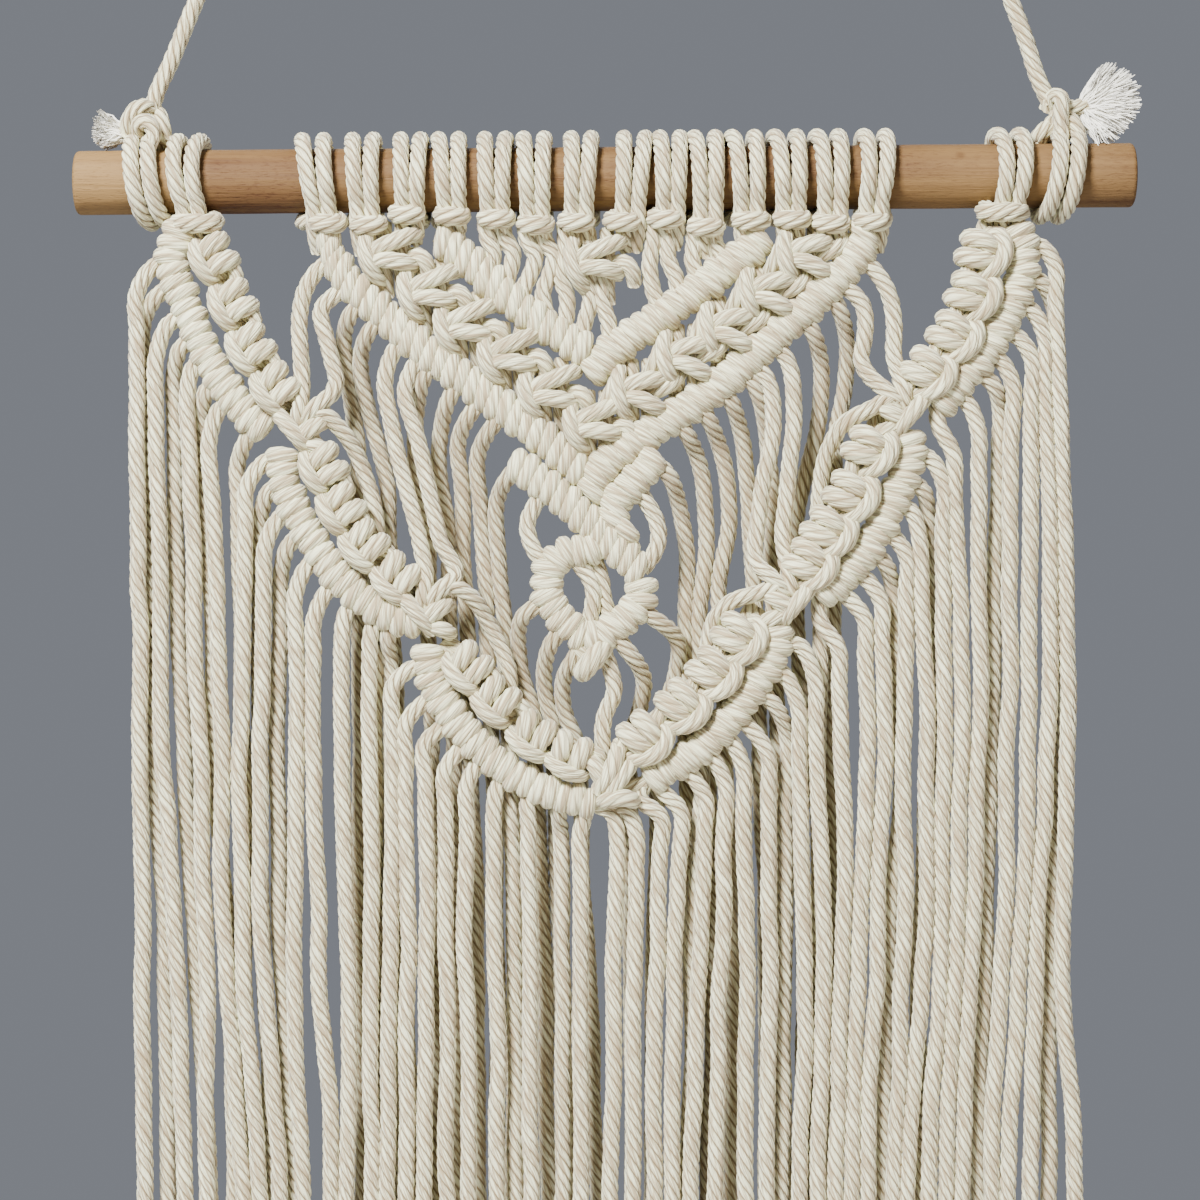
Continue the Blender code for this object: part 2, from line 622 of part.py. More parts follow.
def swag_pieces():
    pieces = []
    for name, swag in SWAGS.items():
        bar, knots = swag["bar"], swag["knots"]
        pieces.append(ridged_bar(name, bar))
        run = Vector(bar[-1]) - Vector(bar[0])
        for across, drop in knots:
            lean = math.atan2(run.x, run.y)
            pieces.append(square_knot(f"{name}_knot", across, drop, lean, swag["side"] > 0))
    for across, drop, lean, mirrored in JOINS:
        pieces.append(square_knot("join", across, drop, math.radians(lean), mirrored))
        pieces.append(core("join_core", across, drop, JOIN_REACH))
    pieces += heads_of("swag_head", SWAG_HEADS)
    layers = {"front": FRONT_LAYER, "middle": MIDDLE_LAYER}
    bars = [swag["bar"] for swag in SWAGS.values()]
    for root, shoulder, across_at_levels, layer in SWAG_FRINGE:
        points = [
            at(*nearest(bars, root), PANEL_BACK + 1.0),
            at(*shoulder, layers[layer]),
        ]
        pieces.append(hanging("swag_fringe", points, across_at_levels, LEVELS))
    for route, last in JOIN_FRINGE:
        depths = (PANEL_BACK, -3.5, MIDDLE_LAYER, MIDDLE_LAYER)
        points = [at(*place, back) for place, back in zip(route, depths)]
        pieces.append(hanging("join_fringe", points, last, LEVELS[1:]))
    return pieces


def hanger_pieces():
    left = [at(*place) for place in LEGS[-1][::-1]]
    bend_left = [at(-across, drop) for across, drop in NAIL_BEND[:0:-1]]
    bend_right = [at(across, drop) for across, drop in NAIL_BEND]
    right = [at(*place) for place in LEGS[1]]
    pieces = [tube("hanger", [*left, *bend_left, *bend_right, *right], CORD / 2, 6)]
    for side in (-1, 1):
        across, drop = HANGER_KNOTS[side]
        knot = [
            at(across, drop + HANGER_KNOT_REACH * k / 3, 0.0) for k in (-3, -2, -1, 0, 1, 2, 3)
        ]
        swell = (0.7, 1.0, 0.8, 1.0, 0.8, 1.0, 0.7)
        pieces.append(tube("hanger_knot", knot, HANGER_KNOT_RADIUS, 6, swell))
        start, shift = WRAPS[side]
        wrap = [at(across, drop, 0.0)]
        for k in range(WRAP_TURNS * WRAP_STEPS + 1):
            turns = k / WRAP_STEPS
            turn = math.pi / 2 - math.tau * turns
            wrap.append(
                tilted(
                    start + shift * turns,
                    WRAP_RADIUS * math.sin(turn),
                    -WRAP_RADIUS * math.cos(turn),
                )
            )
        wrap.append(at(across, drop, 0.0))
        pieces.append(strand("wrap", wrap))
        root, tips = FRAYS[side]
        for k, tip in enumerate(tips):
            depth = LOCK_DEPTHS[k % len(LOCK_DEPTHS)]
            line = (at(across, drop, 0.0), at(*root, 0.0), at(*tip, depth))
            swell = (0.8, 1.0, LOCK_TIP / LOCK_ROOT)
            pieces.append(tube("frayed_lock", line, LOCK_ROOT, 4, swell))
    return pieces


def without_crumbs(mesh):
    """The mesh with the specks filled or dropped that a union leaves between pieces."""
    shape = bmesh.new()
    shape.from_mesh(mesh)
    unseen = set(shape.verts)
    while unseen:
        island, edge = set(), [next(iter(unseen))]
        while edge:
            vertex = edge.pop()
            if vertex not in island:
                island.add(vertex)
                edge += [link.other_vert(vertex) for link in vertex.link_edges]
        unseen -= island
        low = Vector(min(v.co[k] for v in island) for k in range(3))
        high = Vector(max(v.co[k] for v in island) for k in range(3))
        if (high - low).length < CRUMB * MM:
            bmesh.ops.delete(shape, geom=list(island), context="VERTS")
    shape.to_mesh(mesh)
    shape.free()


def fused(name, pieces, finish, parts):
    """One body from overlapping closed pieces."""
    group = collection(f"{name}_pieces", helper=True)
    for piece in pieces[1:]:
        piece.hide_render = True
        piece.display_type = "WIRE"
        group.objects.link(piece)
    blank = pieces[0]
    bpy.context.scene.collection.objects.link(blank)
    union = blank.modifiers.new("union", "BOOLEAN")
    union.operation = "UNION"
    union.operand_type = "COLLECTION"
    union.collection = group
    union.solver = "MANIFOLD"  # EXACT takes over five minutes on this many pieces
    bpy.context.view_layer.update()
    graph = bpy.context.evaluated_depsgraph_get()
    mesh = bpy.data.meshes.new_from_object(blank.evaluated_get(graph))
    without_crumbs(mesh)
    mesh.shade_smooth()
    mesh.materials.clear()
    mesh.materials.append(finish)
    bpy.data.objects.remove(blank)
    body = bpy.data.objects.new(name, mesh)
    parts.objects.link(body)


def dowel(finish, parts):
    shape = bmesh.new()
    bmesh.ops.create_cone(
        shape,
        cap_ends=True,
        segments=24,
        radius1=DOWEL_RADIUS * MM,
        radius2=DOWEL_RADIUS * MM,
        depth=DOWEL_LENGTH * MM,
    )
    rims = [edge for edge in shape.edges if any(len(face.verts) > 4 for face in edge.link_faces)]
    bmesh.ops.bevel(
        shape,
        geom=rims,
        offset=DOWEL_EASING * MM,
        segments=1,
        profile=0.5,
        affect="EDGES",
        material=-1,
    )
    mesh = bpy.data.meshes.new("dowel")
    shape.to_mesh(mesh)
    shape.free()
    mesh.shade_smooth()
    mesh.materials.append(finish)
    made = bpy.data.objects.new("dowel", mesh)
    made.location = at(0.0, 0.0)
    made.rotation_euler = (0.0, math.pi / 2 - DOWEL_TILT, 0.0)
    parts.objects.link(made)
    return made


def main():
    for old in list(bpy.data.objects):
        bpy.data.objects.remove(old)
    parts = collection("macrame_wall_hanging")
    cotton, hanging_cotton, wood = (material(name) for name in COLOURS)
    dowel(wood, parts)
    fused("hanging_cord", hanger_pieces(), hanging_cotton, parts)
    fused("centre_panel", panel_pieces(), cotton, parts)
    fused("swags", swag_pieces(), cotton, parts)


main()
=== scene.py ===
"""Detailed look of a macrame wall hanging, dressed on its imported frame.

All lengths in the tables are in millimetres: "across" runs to the right from the middle of
the dowel, "drop" runs down from its axis, and "back" runs away from the viewer.
"""

import logging
import math
from dataclasses import dataclass, field
from enum import Enum
from random import Random

import bmesh
import bpy
from mathutils import Matrix, Vector, noise
from mathutils.geometry import interpolate_bezier

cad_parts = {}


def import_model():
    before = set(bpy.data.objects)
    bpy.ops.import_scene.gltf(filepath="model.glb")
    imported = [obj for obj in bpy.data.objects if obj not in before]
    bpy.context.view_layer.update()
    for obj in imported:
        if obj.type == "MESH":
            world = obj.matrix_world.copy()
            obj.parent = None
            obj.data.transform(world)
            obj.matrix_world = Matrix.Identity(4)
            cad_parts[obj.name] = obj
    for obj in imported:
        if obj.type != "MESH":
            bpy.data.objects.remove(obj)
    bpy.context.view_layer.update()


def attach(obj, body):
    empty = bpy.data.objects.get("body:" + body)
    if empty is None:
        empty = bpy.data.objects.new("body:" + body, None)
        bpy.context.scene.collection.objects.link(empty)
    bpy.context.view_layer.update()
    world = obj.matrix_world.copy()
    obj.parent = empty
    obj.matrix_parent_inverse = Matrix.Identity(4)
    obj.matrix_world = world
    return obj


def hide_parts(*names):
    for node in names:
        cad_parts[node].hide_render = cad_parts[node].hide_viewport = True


LOG = logging.getLogger("wall_hanging")
MM = 0.001
TINY = 1e-9
WELD = 1e-7
NAIL_ABOVE_DOWEL = 333.0
FRINGE_END = 360.0
DOWEL_TILT = math.radians(0.43)
CORD_RADIUS = 2.43
PANEL_BACK = -6.0
STRAND_BACK = -5.4
BEHIND_BARS = -4.5
COMBED = (0.95, 0.93, 0.84, 1.0)
LAMPS = (  # name, across and up in metres, back in metres, size, watts, warmth
    ("key", (-0.5, 0.75), -0.95, 0.35, 64.0, 0.0),
    ("fill", (0.8, 0.1), -1.1, 0.9, 7.0, 0.2),
    ("rim", (0.1, 0.5), 0.9, 0.8, 5.0, 0.0),
)

Place = tuple[float, float]
Route = tuple[Place, ...]
Path = tuple[tuple[float, float, float], ...]
KnotForm = tuple[tuple[float, float, Path], ...]
Colour = tuple[float, float, float, float]

# Lark's heads on the dowel, left to right: middle of the two legs, middle of the bar, how
# far the legs are apart, how far they lean to the right on their way down, how far they bow,
# how far to the right of the legs the bar sits.
HEADS = (  # across, bar_drop, legs_apart, slant, bow, bar_shift
    (-118.2, 14.0, 5.4, 0.8, -2.4, 1.8),
    (-81.0, 14.0, 5.4, 2.9, -0.4, 1.8),
    (-68.6, 14.6, 5.2, 0.8, -0.2, 1.0),
    (-55.7, 11.6, 5.0, 0.0, 0.2, -1.0),
    (-43.7, 12.0, 5.0, 1.2, 0.2, -0.1),
    (-31.4, 12.8, 5.2, 0.0, -0.2, 0.3),
    (-20.0, 14.4, 5.2, 0.3, 0.0, 0.1),
    (-7.4, 13.8, 5.0, -0.7, 0.3, -0.9),
    (7.3, 13.6, 5.4, -1.4, 0.2, -2.4),
    (18.7, 12.9, 5.0, 0.0, 0.2, -1.7),
    (29.4, 15.2, 5.2, 0.7, 0.3, -0.7),
    (41.1, 13.4, 5.6, 1.4, 0.4, 0.5),
    (53.0, 13.0, 5.4, 1.2, 0.5, 0.4),
    (64.9, 14.1, 5.4, 1.0, 0.6, -0.6),
    (76.7, 13.5, 5.4, -0.7, 1.3, -0.7),
    (115.6, 10.9, 5.6, 0.0, 2.2, -2.3),
)
SWAG_HEADS = (0, 15)
HEAD_BAR = (  # across as a share of the bar's reach, rise, share of its jog, back
    (-0.8, 1.6, 0.0, -5.0),
    (-1.0, 0.6, 0.0, -8.2),
    (-0.55, 0.0, 0.3, -9.9),
    (0.0, 0.0, 0.5, -10.4),
    (0.55, 0.0, 0.8, -9.9),
    (1.0, 0.4, 0.0, -8.2),
    (0.8, 1.6, 0.0, -5.0),
)
HEAD_FOOT = (  # across as a share of the way to the leg, rise, back
    (0.5, -7.0, -2.8),
    (0.9, -3.2, -5.6),
    (1.0, 0.0, -7.2),
)

# Bars of double half hitches: across, drop of the middle line.
V_BARS = {
    "inner_left": (
        (-47.2, 17.0), (-45.2, 19.6), (-40.1, 23.2), (-34.7, 28.2), (-27.0, 35.3),
        (-18.8, 41.6), (-10.6, 46.8), (-5.0, 50.4),
    ),
    "inner_right": (
        (45.6, 17.0), (42.1, 20.8), (36.6, 24.8), (31.1, 29.0), (25.7, 33.1), (20.2, 37.3),
        (14.7, 41.0), (9.3, 44.6), (3.8, 48.4), (-0.6, 52.4), (-4.2, 57.0),
    ),
    "outer_left": (
        (-79.8, 15.5), (-78.8, 20.5), (-75.8, 26.8), (-70.7, 32.6), (-65.3, 37.4),
        (-59.8, 42.7), (-52.1, 49.3), (-45.6, 54.2), (-39.6, 58.4), (-34.4, 62.4),
        (-27.0, 67.7), (-21.5, 71.9), (-16.1, 76.1), (-10.6, 81.0), (-6.4, 84.4),
    ),
    "outer_right": (
        (74.6, 15.0), (73.4, 20.2), (69.6, 25.4), (63.9, 31.4), (58.5, 36.6), (53.0, 41.7),
        (47.5, 46.4), (42.1, 51.4), (36.6, 56.4), (31.1, 60.9), (25.7, 64.8), (20.2, 68.2),
        (14.7, 71.9), (9.3, 75.2), (3.8, 78.8), (-0.8, 83.0), (-3.4, 87.4), (-4.8, 91.2),
    ),
    "lower_left": (
        (-26.6, 81.4), (-20.2, 86.0), (-13.7, 90.6), (-6.6, 96.8), (-0.5, 102.6), (4.8, 107.6),
        (10.6, 113.4),
    ),
    "lower_right": ((14.8, 79.8), (9.3, 86.2), (4.6, 91.0), (1.8, 94.8), (2.8, 98.6), (6.4, 102.0)),
}
BAR_LEANS = {  # degrees that a bar's rolls lean to the right on their way down
    "inner_left": -12.0,
    "inner_right": 38.0,
    "outer_left": -12.0,
    "outer_right": 40.0,
    "lower_left": -18.0,
    "lower_right": 44.0,
}
DIAMOND = (
    (-1.8, 106.4), (-5.4, 107.0), (-9.3, 106.9), (-13.0, 108.5), (-16.0, 112.2),
    (-16.9, 117.0), (-15.9, 121.6), (-12.6, 126.0), (-8.6, 130.0), (-4.0, 132.4), (0.6, 130.6),
    (4.4, 127.2), (8.2, 124.6), (10.6, 120.6), (10.4, 115.4),
)
DIAMOND_TIP = (-3.3, 137.6)
DIAMOND_CROSSING = (
    ((-9.6, 107.5), (-7.4, 110.9), (-4.6, 114.5), (-3.2, 119.0), (-3.7, 123.6), (-4.8, 129.5)),
    ((-3.4, 106.0), (-2.4, 110.5), (-1.0, 115.2), (-0.4, 120.0), (0.8, 124.6), (2.4, 129.0)),
)
SIDE_STRANDS = (
    ((-17.2, 88.0), (-19.1, 92.2), (-22.2, 99.5), (-20.8, 105.8), (-17.6, 110.5)),
    ((9.6, 89.6), (12.2, 93.6), (15.0, 99.3), (15.1, 105.3), (12.9, 109.6), (10.5, 112.5)),
)

# Square knots of the panel.
PANEL_KNOTS = (  # across, drop
    (-60.6, 22.6), (-49.4, 33.1), (-39.1, 42.9), (-26.6, 51.4), (-15.1, 61.7), (-2.3, 70.9),
    (10.0, 62.0), (23.1, 52.0), (35.1, 44.0), (46.6, 33.7), (57.4, 23.1), (-2.0, 24.6),
)
# Single strands between the dowel and the inner bar: across and drop from the top.
SHORT_STRANDS = (
    ((-34.4, 12.0), (-33.6, 17.5), (-31.9, 22.0), (-33.0, 28.0)),
    ((-29.6, 12.0), (-28.4, 17.6), (-26.3, 21.5), (-26.6, 25.0), (-28.6, 31.0)),
    ((-23.0, 13.0), (-22.2, 18.6), (-19.9, 22.6), (-20.9, 27.0), (-23.2, 32.0), (-24.0, 37.0)),
    ((-17.6, 13.0), (-17.0, 18.6), (-14.6, 22.4), (-15.8, 28.0), (-17.7, 33.0), (-16.6, 40.0)),
    ((-11.6, 13.0), (-11.4, 20.0), (-12.6, 29.0), (-10.8, 34.5), (-11.0, 40.0), (-12.0, 46.0)),
    ((-4.8, 24.0), (-5.2, 29.5), (-4.1, 35.0), (-5.7, 41.5), (-7.2, 47.0)),
    ((-0.4, 24.0), (-0.8, 29.5), (-1.0, 35.0), (0.9, 41.0), (1.6, 48.0)),
    ((13.4, 12.0), (13.9, 18.0), (12.8, 25.0), (13.4, 31.0), (15.6, 38.0)),
    ((18.4, 12.0), (18.0, 18.0), (18.2, 24.0), (20.3, 29.0), (21.0, 35.0)),
    ((25.2, 14.0), (25.4, 19.5), (25.0, 24.0), (26.4, 28.5), (27.6, 32.0)),
    ((30.6, 14.0), (31.6, 19.0), (33.0, 22.0), (33.6, 26.0)),
)


@dataclass(frozen=True)
class Swag:
    """A part of a swag: the side that its strands leave by, its bar, and its square knots."""

    side: int
    bar: Route
    knots: Route


SWAGS = (  # three on the left, then three on the right, from the top
    Swag(
        side=-1,
        bar=(
            (-120.8, 14.5), (-123.4, 20.0), (-124.0, 25.0), (-122.2, 30.6), (-119.7, 36.6),
            (-117.6, 41.9), (-115.8, 46.4), (-113.8, 51.2), (-111.0, 56.1), (-108.2, 60.6),
            (-105.0, 64.8), (-101.2, 69.4), (-97.0, 72.8),
        ),
        knots=((-111.6, 23.4), (-106.2, 36.5), (-101.1, 49.1), (-94.0, 60.5)),
    ),
    Swag(
        side=-1,
        bar=(
            (-91.6, 78.2), (-92.2, 84.8), (-90.8, 89.4), (-89.2, 94.2), (-86.6, 99.0),
            (-83.4, 104.3), (-80.0, 109.5), (-76.0, 114.5), (-72.2, 118.5), (-67.6, 122.0),
            (-63.2, 124.7), (-58.0, 126.8), (-53.0, 127.6),
        ),
        knots=((-80.3, 83.4), (-75.3, 94.8), (-68.6, 105.4), (-59.4, 114.8)),
    ),
    Swag(
        side=-1,
        bar=(
            (-50.6, 134.5), (-50.0, 141.4), (-48.1, 146.3), (-45.4, 151.3), (-41.4, 157.2),
            (-36.4, 162.5), (-31.7, 166.8), (-25.7, 171.2), (-19.7, 174.5), (-13.7, 176.8),
            (-8.2, 178.2), (-3.0, 179.6),
        ),
        knots=((-39.0, 140.4), (-31.0, 149.8), (-20.6, 159.8), (-10.0, 165.6)),
    ),
    Swag(
        side=1,
        bar=(
            (117.7, 14.0), (119.9, 21.0), (119.4, 27.1), (118.3, 31.8), (116.1, 37.3),
            (113.6, 42.0), (111.2, 46.8), (107.6, 51.8), (104.3, 55.8), (101.0, 59.4),
            (98.0, 62.6), (95.0, 65.6),
        ),
        knots=((107.7, 22.0), (104.8, 34.0), (99.6, 45.6), (92.0, 56.0)),
    ),
    Swag(
        side=1,
        bar=(
            (86.9, 73.4), (87.5, 79.4), (86.4, 84.0), (84.2, 88.9), (82.1, 93.6), (79.8, 98.4),
            (76.8, 103.8), (73.2, 108.8), (69.4, 113.2), (65.5, 117.0), (61.3, 120.2),
        ),
        knots=((75.4, 78.0), (70.0, 91.1), (63.7, 101.4), (58.3, 110.6)),
    ),
    Swag(
        side=1,
        bar=(
            (49.4, 128.6), (49.1, 133.8), (47.6, 138.2), (44.9, 142.6), (41.6, 147.0),
            (38.6, 151.6), (34.8, 156.2), (31.0, 160.3), (26.4, 164.3), (21.7, 167.4),
            (17.0, 170.0), (12.4, 172.4),
        ),
        knots=((38.0, 131.7), (30.9, 141.7), (22.0, 151.1), (11.1, 160.3)),
    ),
)
# Knots that join one swag to the next.
JOINS = (  # across, drop, mirrored
    (-82.0, 67.4, False),
    (-46.5, 119.4, False),
    (3.7, 176.4, False),
    (47.7, 116.4, True),
    (80.0, 62.9, True),
)

# What shows of each sort of knot: radius and painted shade of a strand (how much darker it is
# painted where it lies behind the others), then its points, right, up and back from the knot's
# middle.
LEFT_ARM_KNOT = (
    (2.35, 0.0, ((-6.3, 6.6, 1.2), (-7.4, 4.6, -2.6), (-7.6, 0.8, -4.6), (-6.8, -2.8, -4.6),
                 (-5.2, -5.6, -2.6), (-2.4, -8.4, 3.0))),
    (2.45, 0.0, ((-5.8, 0.2, -2.4), (-3.6, 1.8, -4.6), (0.2, 3.2, -5.2), (3.8, 4.8, -4.2),
                 (6.2, 5.8, -1.4), (6.8, 6.0, 1.8))),
    (2.45, 0.0, ((-5.8, -2.4, -2.2), (-3.6, -1.7, -4.5), (-0.4, -1.9, -5.1), (2.8, -2.4, -4.6),
                 (5.0, -3.0, -2.2), (5.6, -3.4, 1.2))),
    (2.30, 0.04, ((4.0, -0.9, 0.4), (6.4, 0.1, -1.6), (8.6, -0.9, -2.2), (10.0, -3.4, -1.4),
                  (10.4, -6.2, 0.8))),
    (2.40, 0.28, ((-2.6, 9.4, 2.4), (-2.4, 0.0, -0.4), (-2.2, -6.8, 1.4), (-1.8, -11.6, 3.4))),
    (2.40, 0.28, ((2.6, 9.4, 2.4), (2.6, 0.0, -0.4), (2.6, -6.8, 1.4), (3.0, -11.6, 3.4))),
)
RIGHT_ARM_KNOT = (
    (2.35, 0.0, ((-5.4, 7.0, 1.4), (-5.9, 5.6, -2.2), (-6.4, 1.6, -4.8), (-5.6, -2.6, -4.8),
                 (-4.6, -5.4, -2.6), (-2.6, -8.4, 3.0))),
    (2.25, 0.02, ((-6.2, 5.6, -0.8), (-7.2, 2.4, -3.4), (-8.6, -1.0, -3.4), (-10.2, -4.0, -1.2),
                  (-11.2, -6.0, 1.0))),
    (2.50, 0.0, ((-4.2, 1.2, -2.6), (-2.0, 2.4, -4.7), (1.4, 3.3, -5.1), (4.4, 3.7, -3.8),
                 (6.0, 3.8, -1.0), (5.6, 3.8, 1.8))),
    (2.50, 0.0, ((-4.2, -0.6, -2.6), (-2.0, -1.2, -4.6), (1.2, -2.5, -5.0), (4.2, -4.0, -3.8),
                 (5.8, -4.8, -1.0), (5.4, -5.0, 1.8))),
    (2.20, 0.06, ((3.0, -0.4, -0.6), (5.6, 0.8, -2.2), (8.4, 2.2, -2.2), (10.6, 4.2, -0.8),
                  (11.6, 5.8, 1.2))),
    (2.40, 0.28, ((-2.4, 9.4, 2.4), (-2.4, 0.0, -0.4), (-2.4, -6.8, 1.4), (-2.8, -11.6, 3.4))),
    (2.40, 0.28, ((2.6, 9.4, 2.4), (2.6, 0.0, -0.4), (2.6, -6.8, 1.4), (2.2, -11.6, 3.4))),
)
SWAG_CORES = (
    (2.40, 0.28, ((-1.2, 10.0, 3.0), (-1.6, 0.0, 0.2), (-1.2, -10.0, 3.0))),
    (2.40, 0.28, ((1.0, 10.0, 3.0), (1.4, 0.0, 0.2), (1.0, -10.0, 3.0))),
)
LEFT_SWAG_KNOT = (
    (2.25, 0.0, ((-1.6, 6.0, 1.4), (-3.0, 5.1, -2.6), (-4.3, 1.9, -4.8), (-4.5, -1.5, -5.0),
                 (-4.0, -4.4, -3.4), (-2.8, -6.2, 0.6))),
    (2.85, 0.0, ((-2.2, 2.4, -0.8), (-0.4, 2.7, -3.6), (1.4, 3.1, -4.4), (3.2, 3.4, -3.4),
                 (4.0, 3.6, -0.8), (3.0, 3.6, 2.2))),
    (2.85, 0.0, ((-2.2, -2.6, -0.8), (-0.4, -2.6, -3.6), (1.5, -2.6, -4.4), (3.4, -2.7, -3.4),
                 (4.2, -2.8, -0.8), (3.2, -2.9, 2.2))),
    (2.10, 0.06, ((2.2, -4.0, 0.0), (3.6, -5.6, -1.6), (3.4, -7.6, -2.0), (1.6, -9.2, -0.6))),
    *SWAG_CORES,
)
RIGHT_SWAG_KNOT = (
    (2.40, 0.0, ((-1.0, 6.4, 0.6), (-3.4, 6.0, -2.8), (-5.6, 3.0, -4.8), (-5.8, -1.0, -5.2),
                 (-4.0, -4.6, -4.4), (-1.0, -7.2, -0.8))),
    (2.80, 0.0, ((-3.2, 1.4, -1.6), (-1.2, 2.4, -4.2), (1.4, 3.0, -4.8), (3.8, 3.0, -3.4),
                 (4.8, 3.0, -0.8), (4.0, 3.0, 2.2))),
    (2.80, 0.0, ((-3.2, -1.6, -1.6), (-1.2, -2.2, -4.2), (1.6, -2.6, -4.8), (4.2, -2.6, -3.4),
                 (5.2, -2.6, -0.8), (4.4, -2.6, 2.2))),
    (2.10, 0.06, ((1.6, -4.4, 0.0), (2.6, -5.8, -1.6), (2.4, -7.6, -2.0), (1.2, -9.2, -0.6))),
    *SWAG_CORES,
)
TIP_ROLL = (
    (3.10, 0.0, ((-3.0, -4.2, 0.8), (-2.8, -3.8, -1.6), (0.0, -0.4, -3.6), (2.6, 2.8, -2.0),
                 (3.0, 3.2, 1.0))),
    (2.40, 0.12, ((-4.8, 4.6, 0.6), (-3.4, 2.0, -0.6), (-1.0, -1.2, 0.6))),
)
SIDE_JOIN = (
    (2.35, 0.0, ((-12.8, 1.2, 0.6), (-10.4, -1.6, -3.0), (-7.9, -4.5, -4.8), (-5.2, -7.6, -4.4),
                 (-3.0, -10.8, -1.0))),
    (2.50, 0.0, ((-5.8, -7.8, 0.0), (-3.8, -6.4, -3.6), (-1.6, -4.8, -4.2), (0.8, -3.2, -2.8),
                 (1.8, -2.6, 0.8))),
    (2.30, 0.0, ((-3.6, -8.6, -0.6), (-1.4, -9.4, -3.2), (1.0, -10.4, -2.8), (2.4, -11.4, 0.4))),
    (2.30, 0.10, ((-6.5, 1.5, 0.8), (-2.0, -2.5, 0.4), (-2.5, -9.0, 0.8))),
)
CENTRE_JOIN = (
    (2.40, 0.0, ((-10.8, 10.0, 0.4), (-7.2, 9.0, -3.4), (-4.9, 4.7, -4.0), (-3.6, 1.5, -1.0))),
    (2.50, 0.0, ((0.4, 14.0, 1.0), (-0.4, 11.0, -3.4), (-1.6, 7.6, -4.8), (-3.8, 3.8, -4.6),
                 (-5.8, 1.0, -2.0))),
    (2.40, 0.0, ((4.4, 9.6, -0.6), (2.6, 7.0, -3.6), (0.6, 4.4, -4.6), (-1.6, 1.4, -4.0),
                 (-3.2, -0.8, -1.0))),
    (2.50, 0.0, ((-5.0, -2.0, 0.4), (-3.0, -1.6, -4.0), (0.0, -0.9, -5.0), (2.8, -1.2, -4.2),
                 (4.4, -2.0, -1.0), (4.4, -2.2, 1.6))),
    (2.30, 0.20, ((-4.0, 1.0, 0.8), (2.0, 1.5, 0.2), (8.0, 3.0, 0.6))),
)
# Where the panel's ties go on from their last point, into each join: points as above.
SIDE_TIES = (
    ((-4.6, 3.6, -2.0), (-5.0, 0.6, -3.2), (-5.6, -3.0, -1.6), (-5.4, -5.0, 1.0)),
    ((4.0, 5.0, -1.8), (0.8, 2.2, -3.6), (-2.2, -0.6, -3.6), (-4.4, -3.2, -1.2)),
)
CENTRE_TIES = (((-4.0, 12.0, 1.0), (-4.2, 8.0, 1.4)),)
SIDE_LEAVING = ((-5.0, -1.8, -0.6), (-2.4, -0.6, -3.2))
TIE_ENDS = ((0, 0), (0, 1), (1, 0), (1, 1), (2, 0), (3, 0), (3, 1), (4, 1), (4, 0))  # join, tie

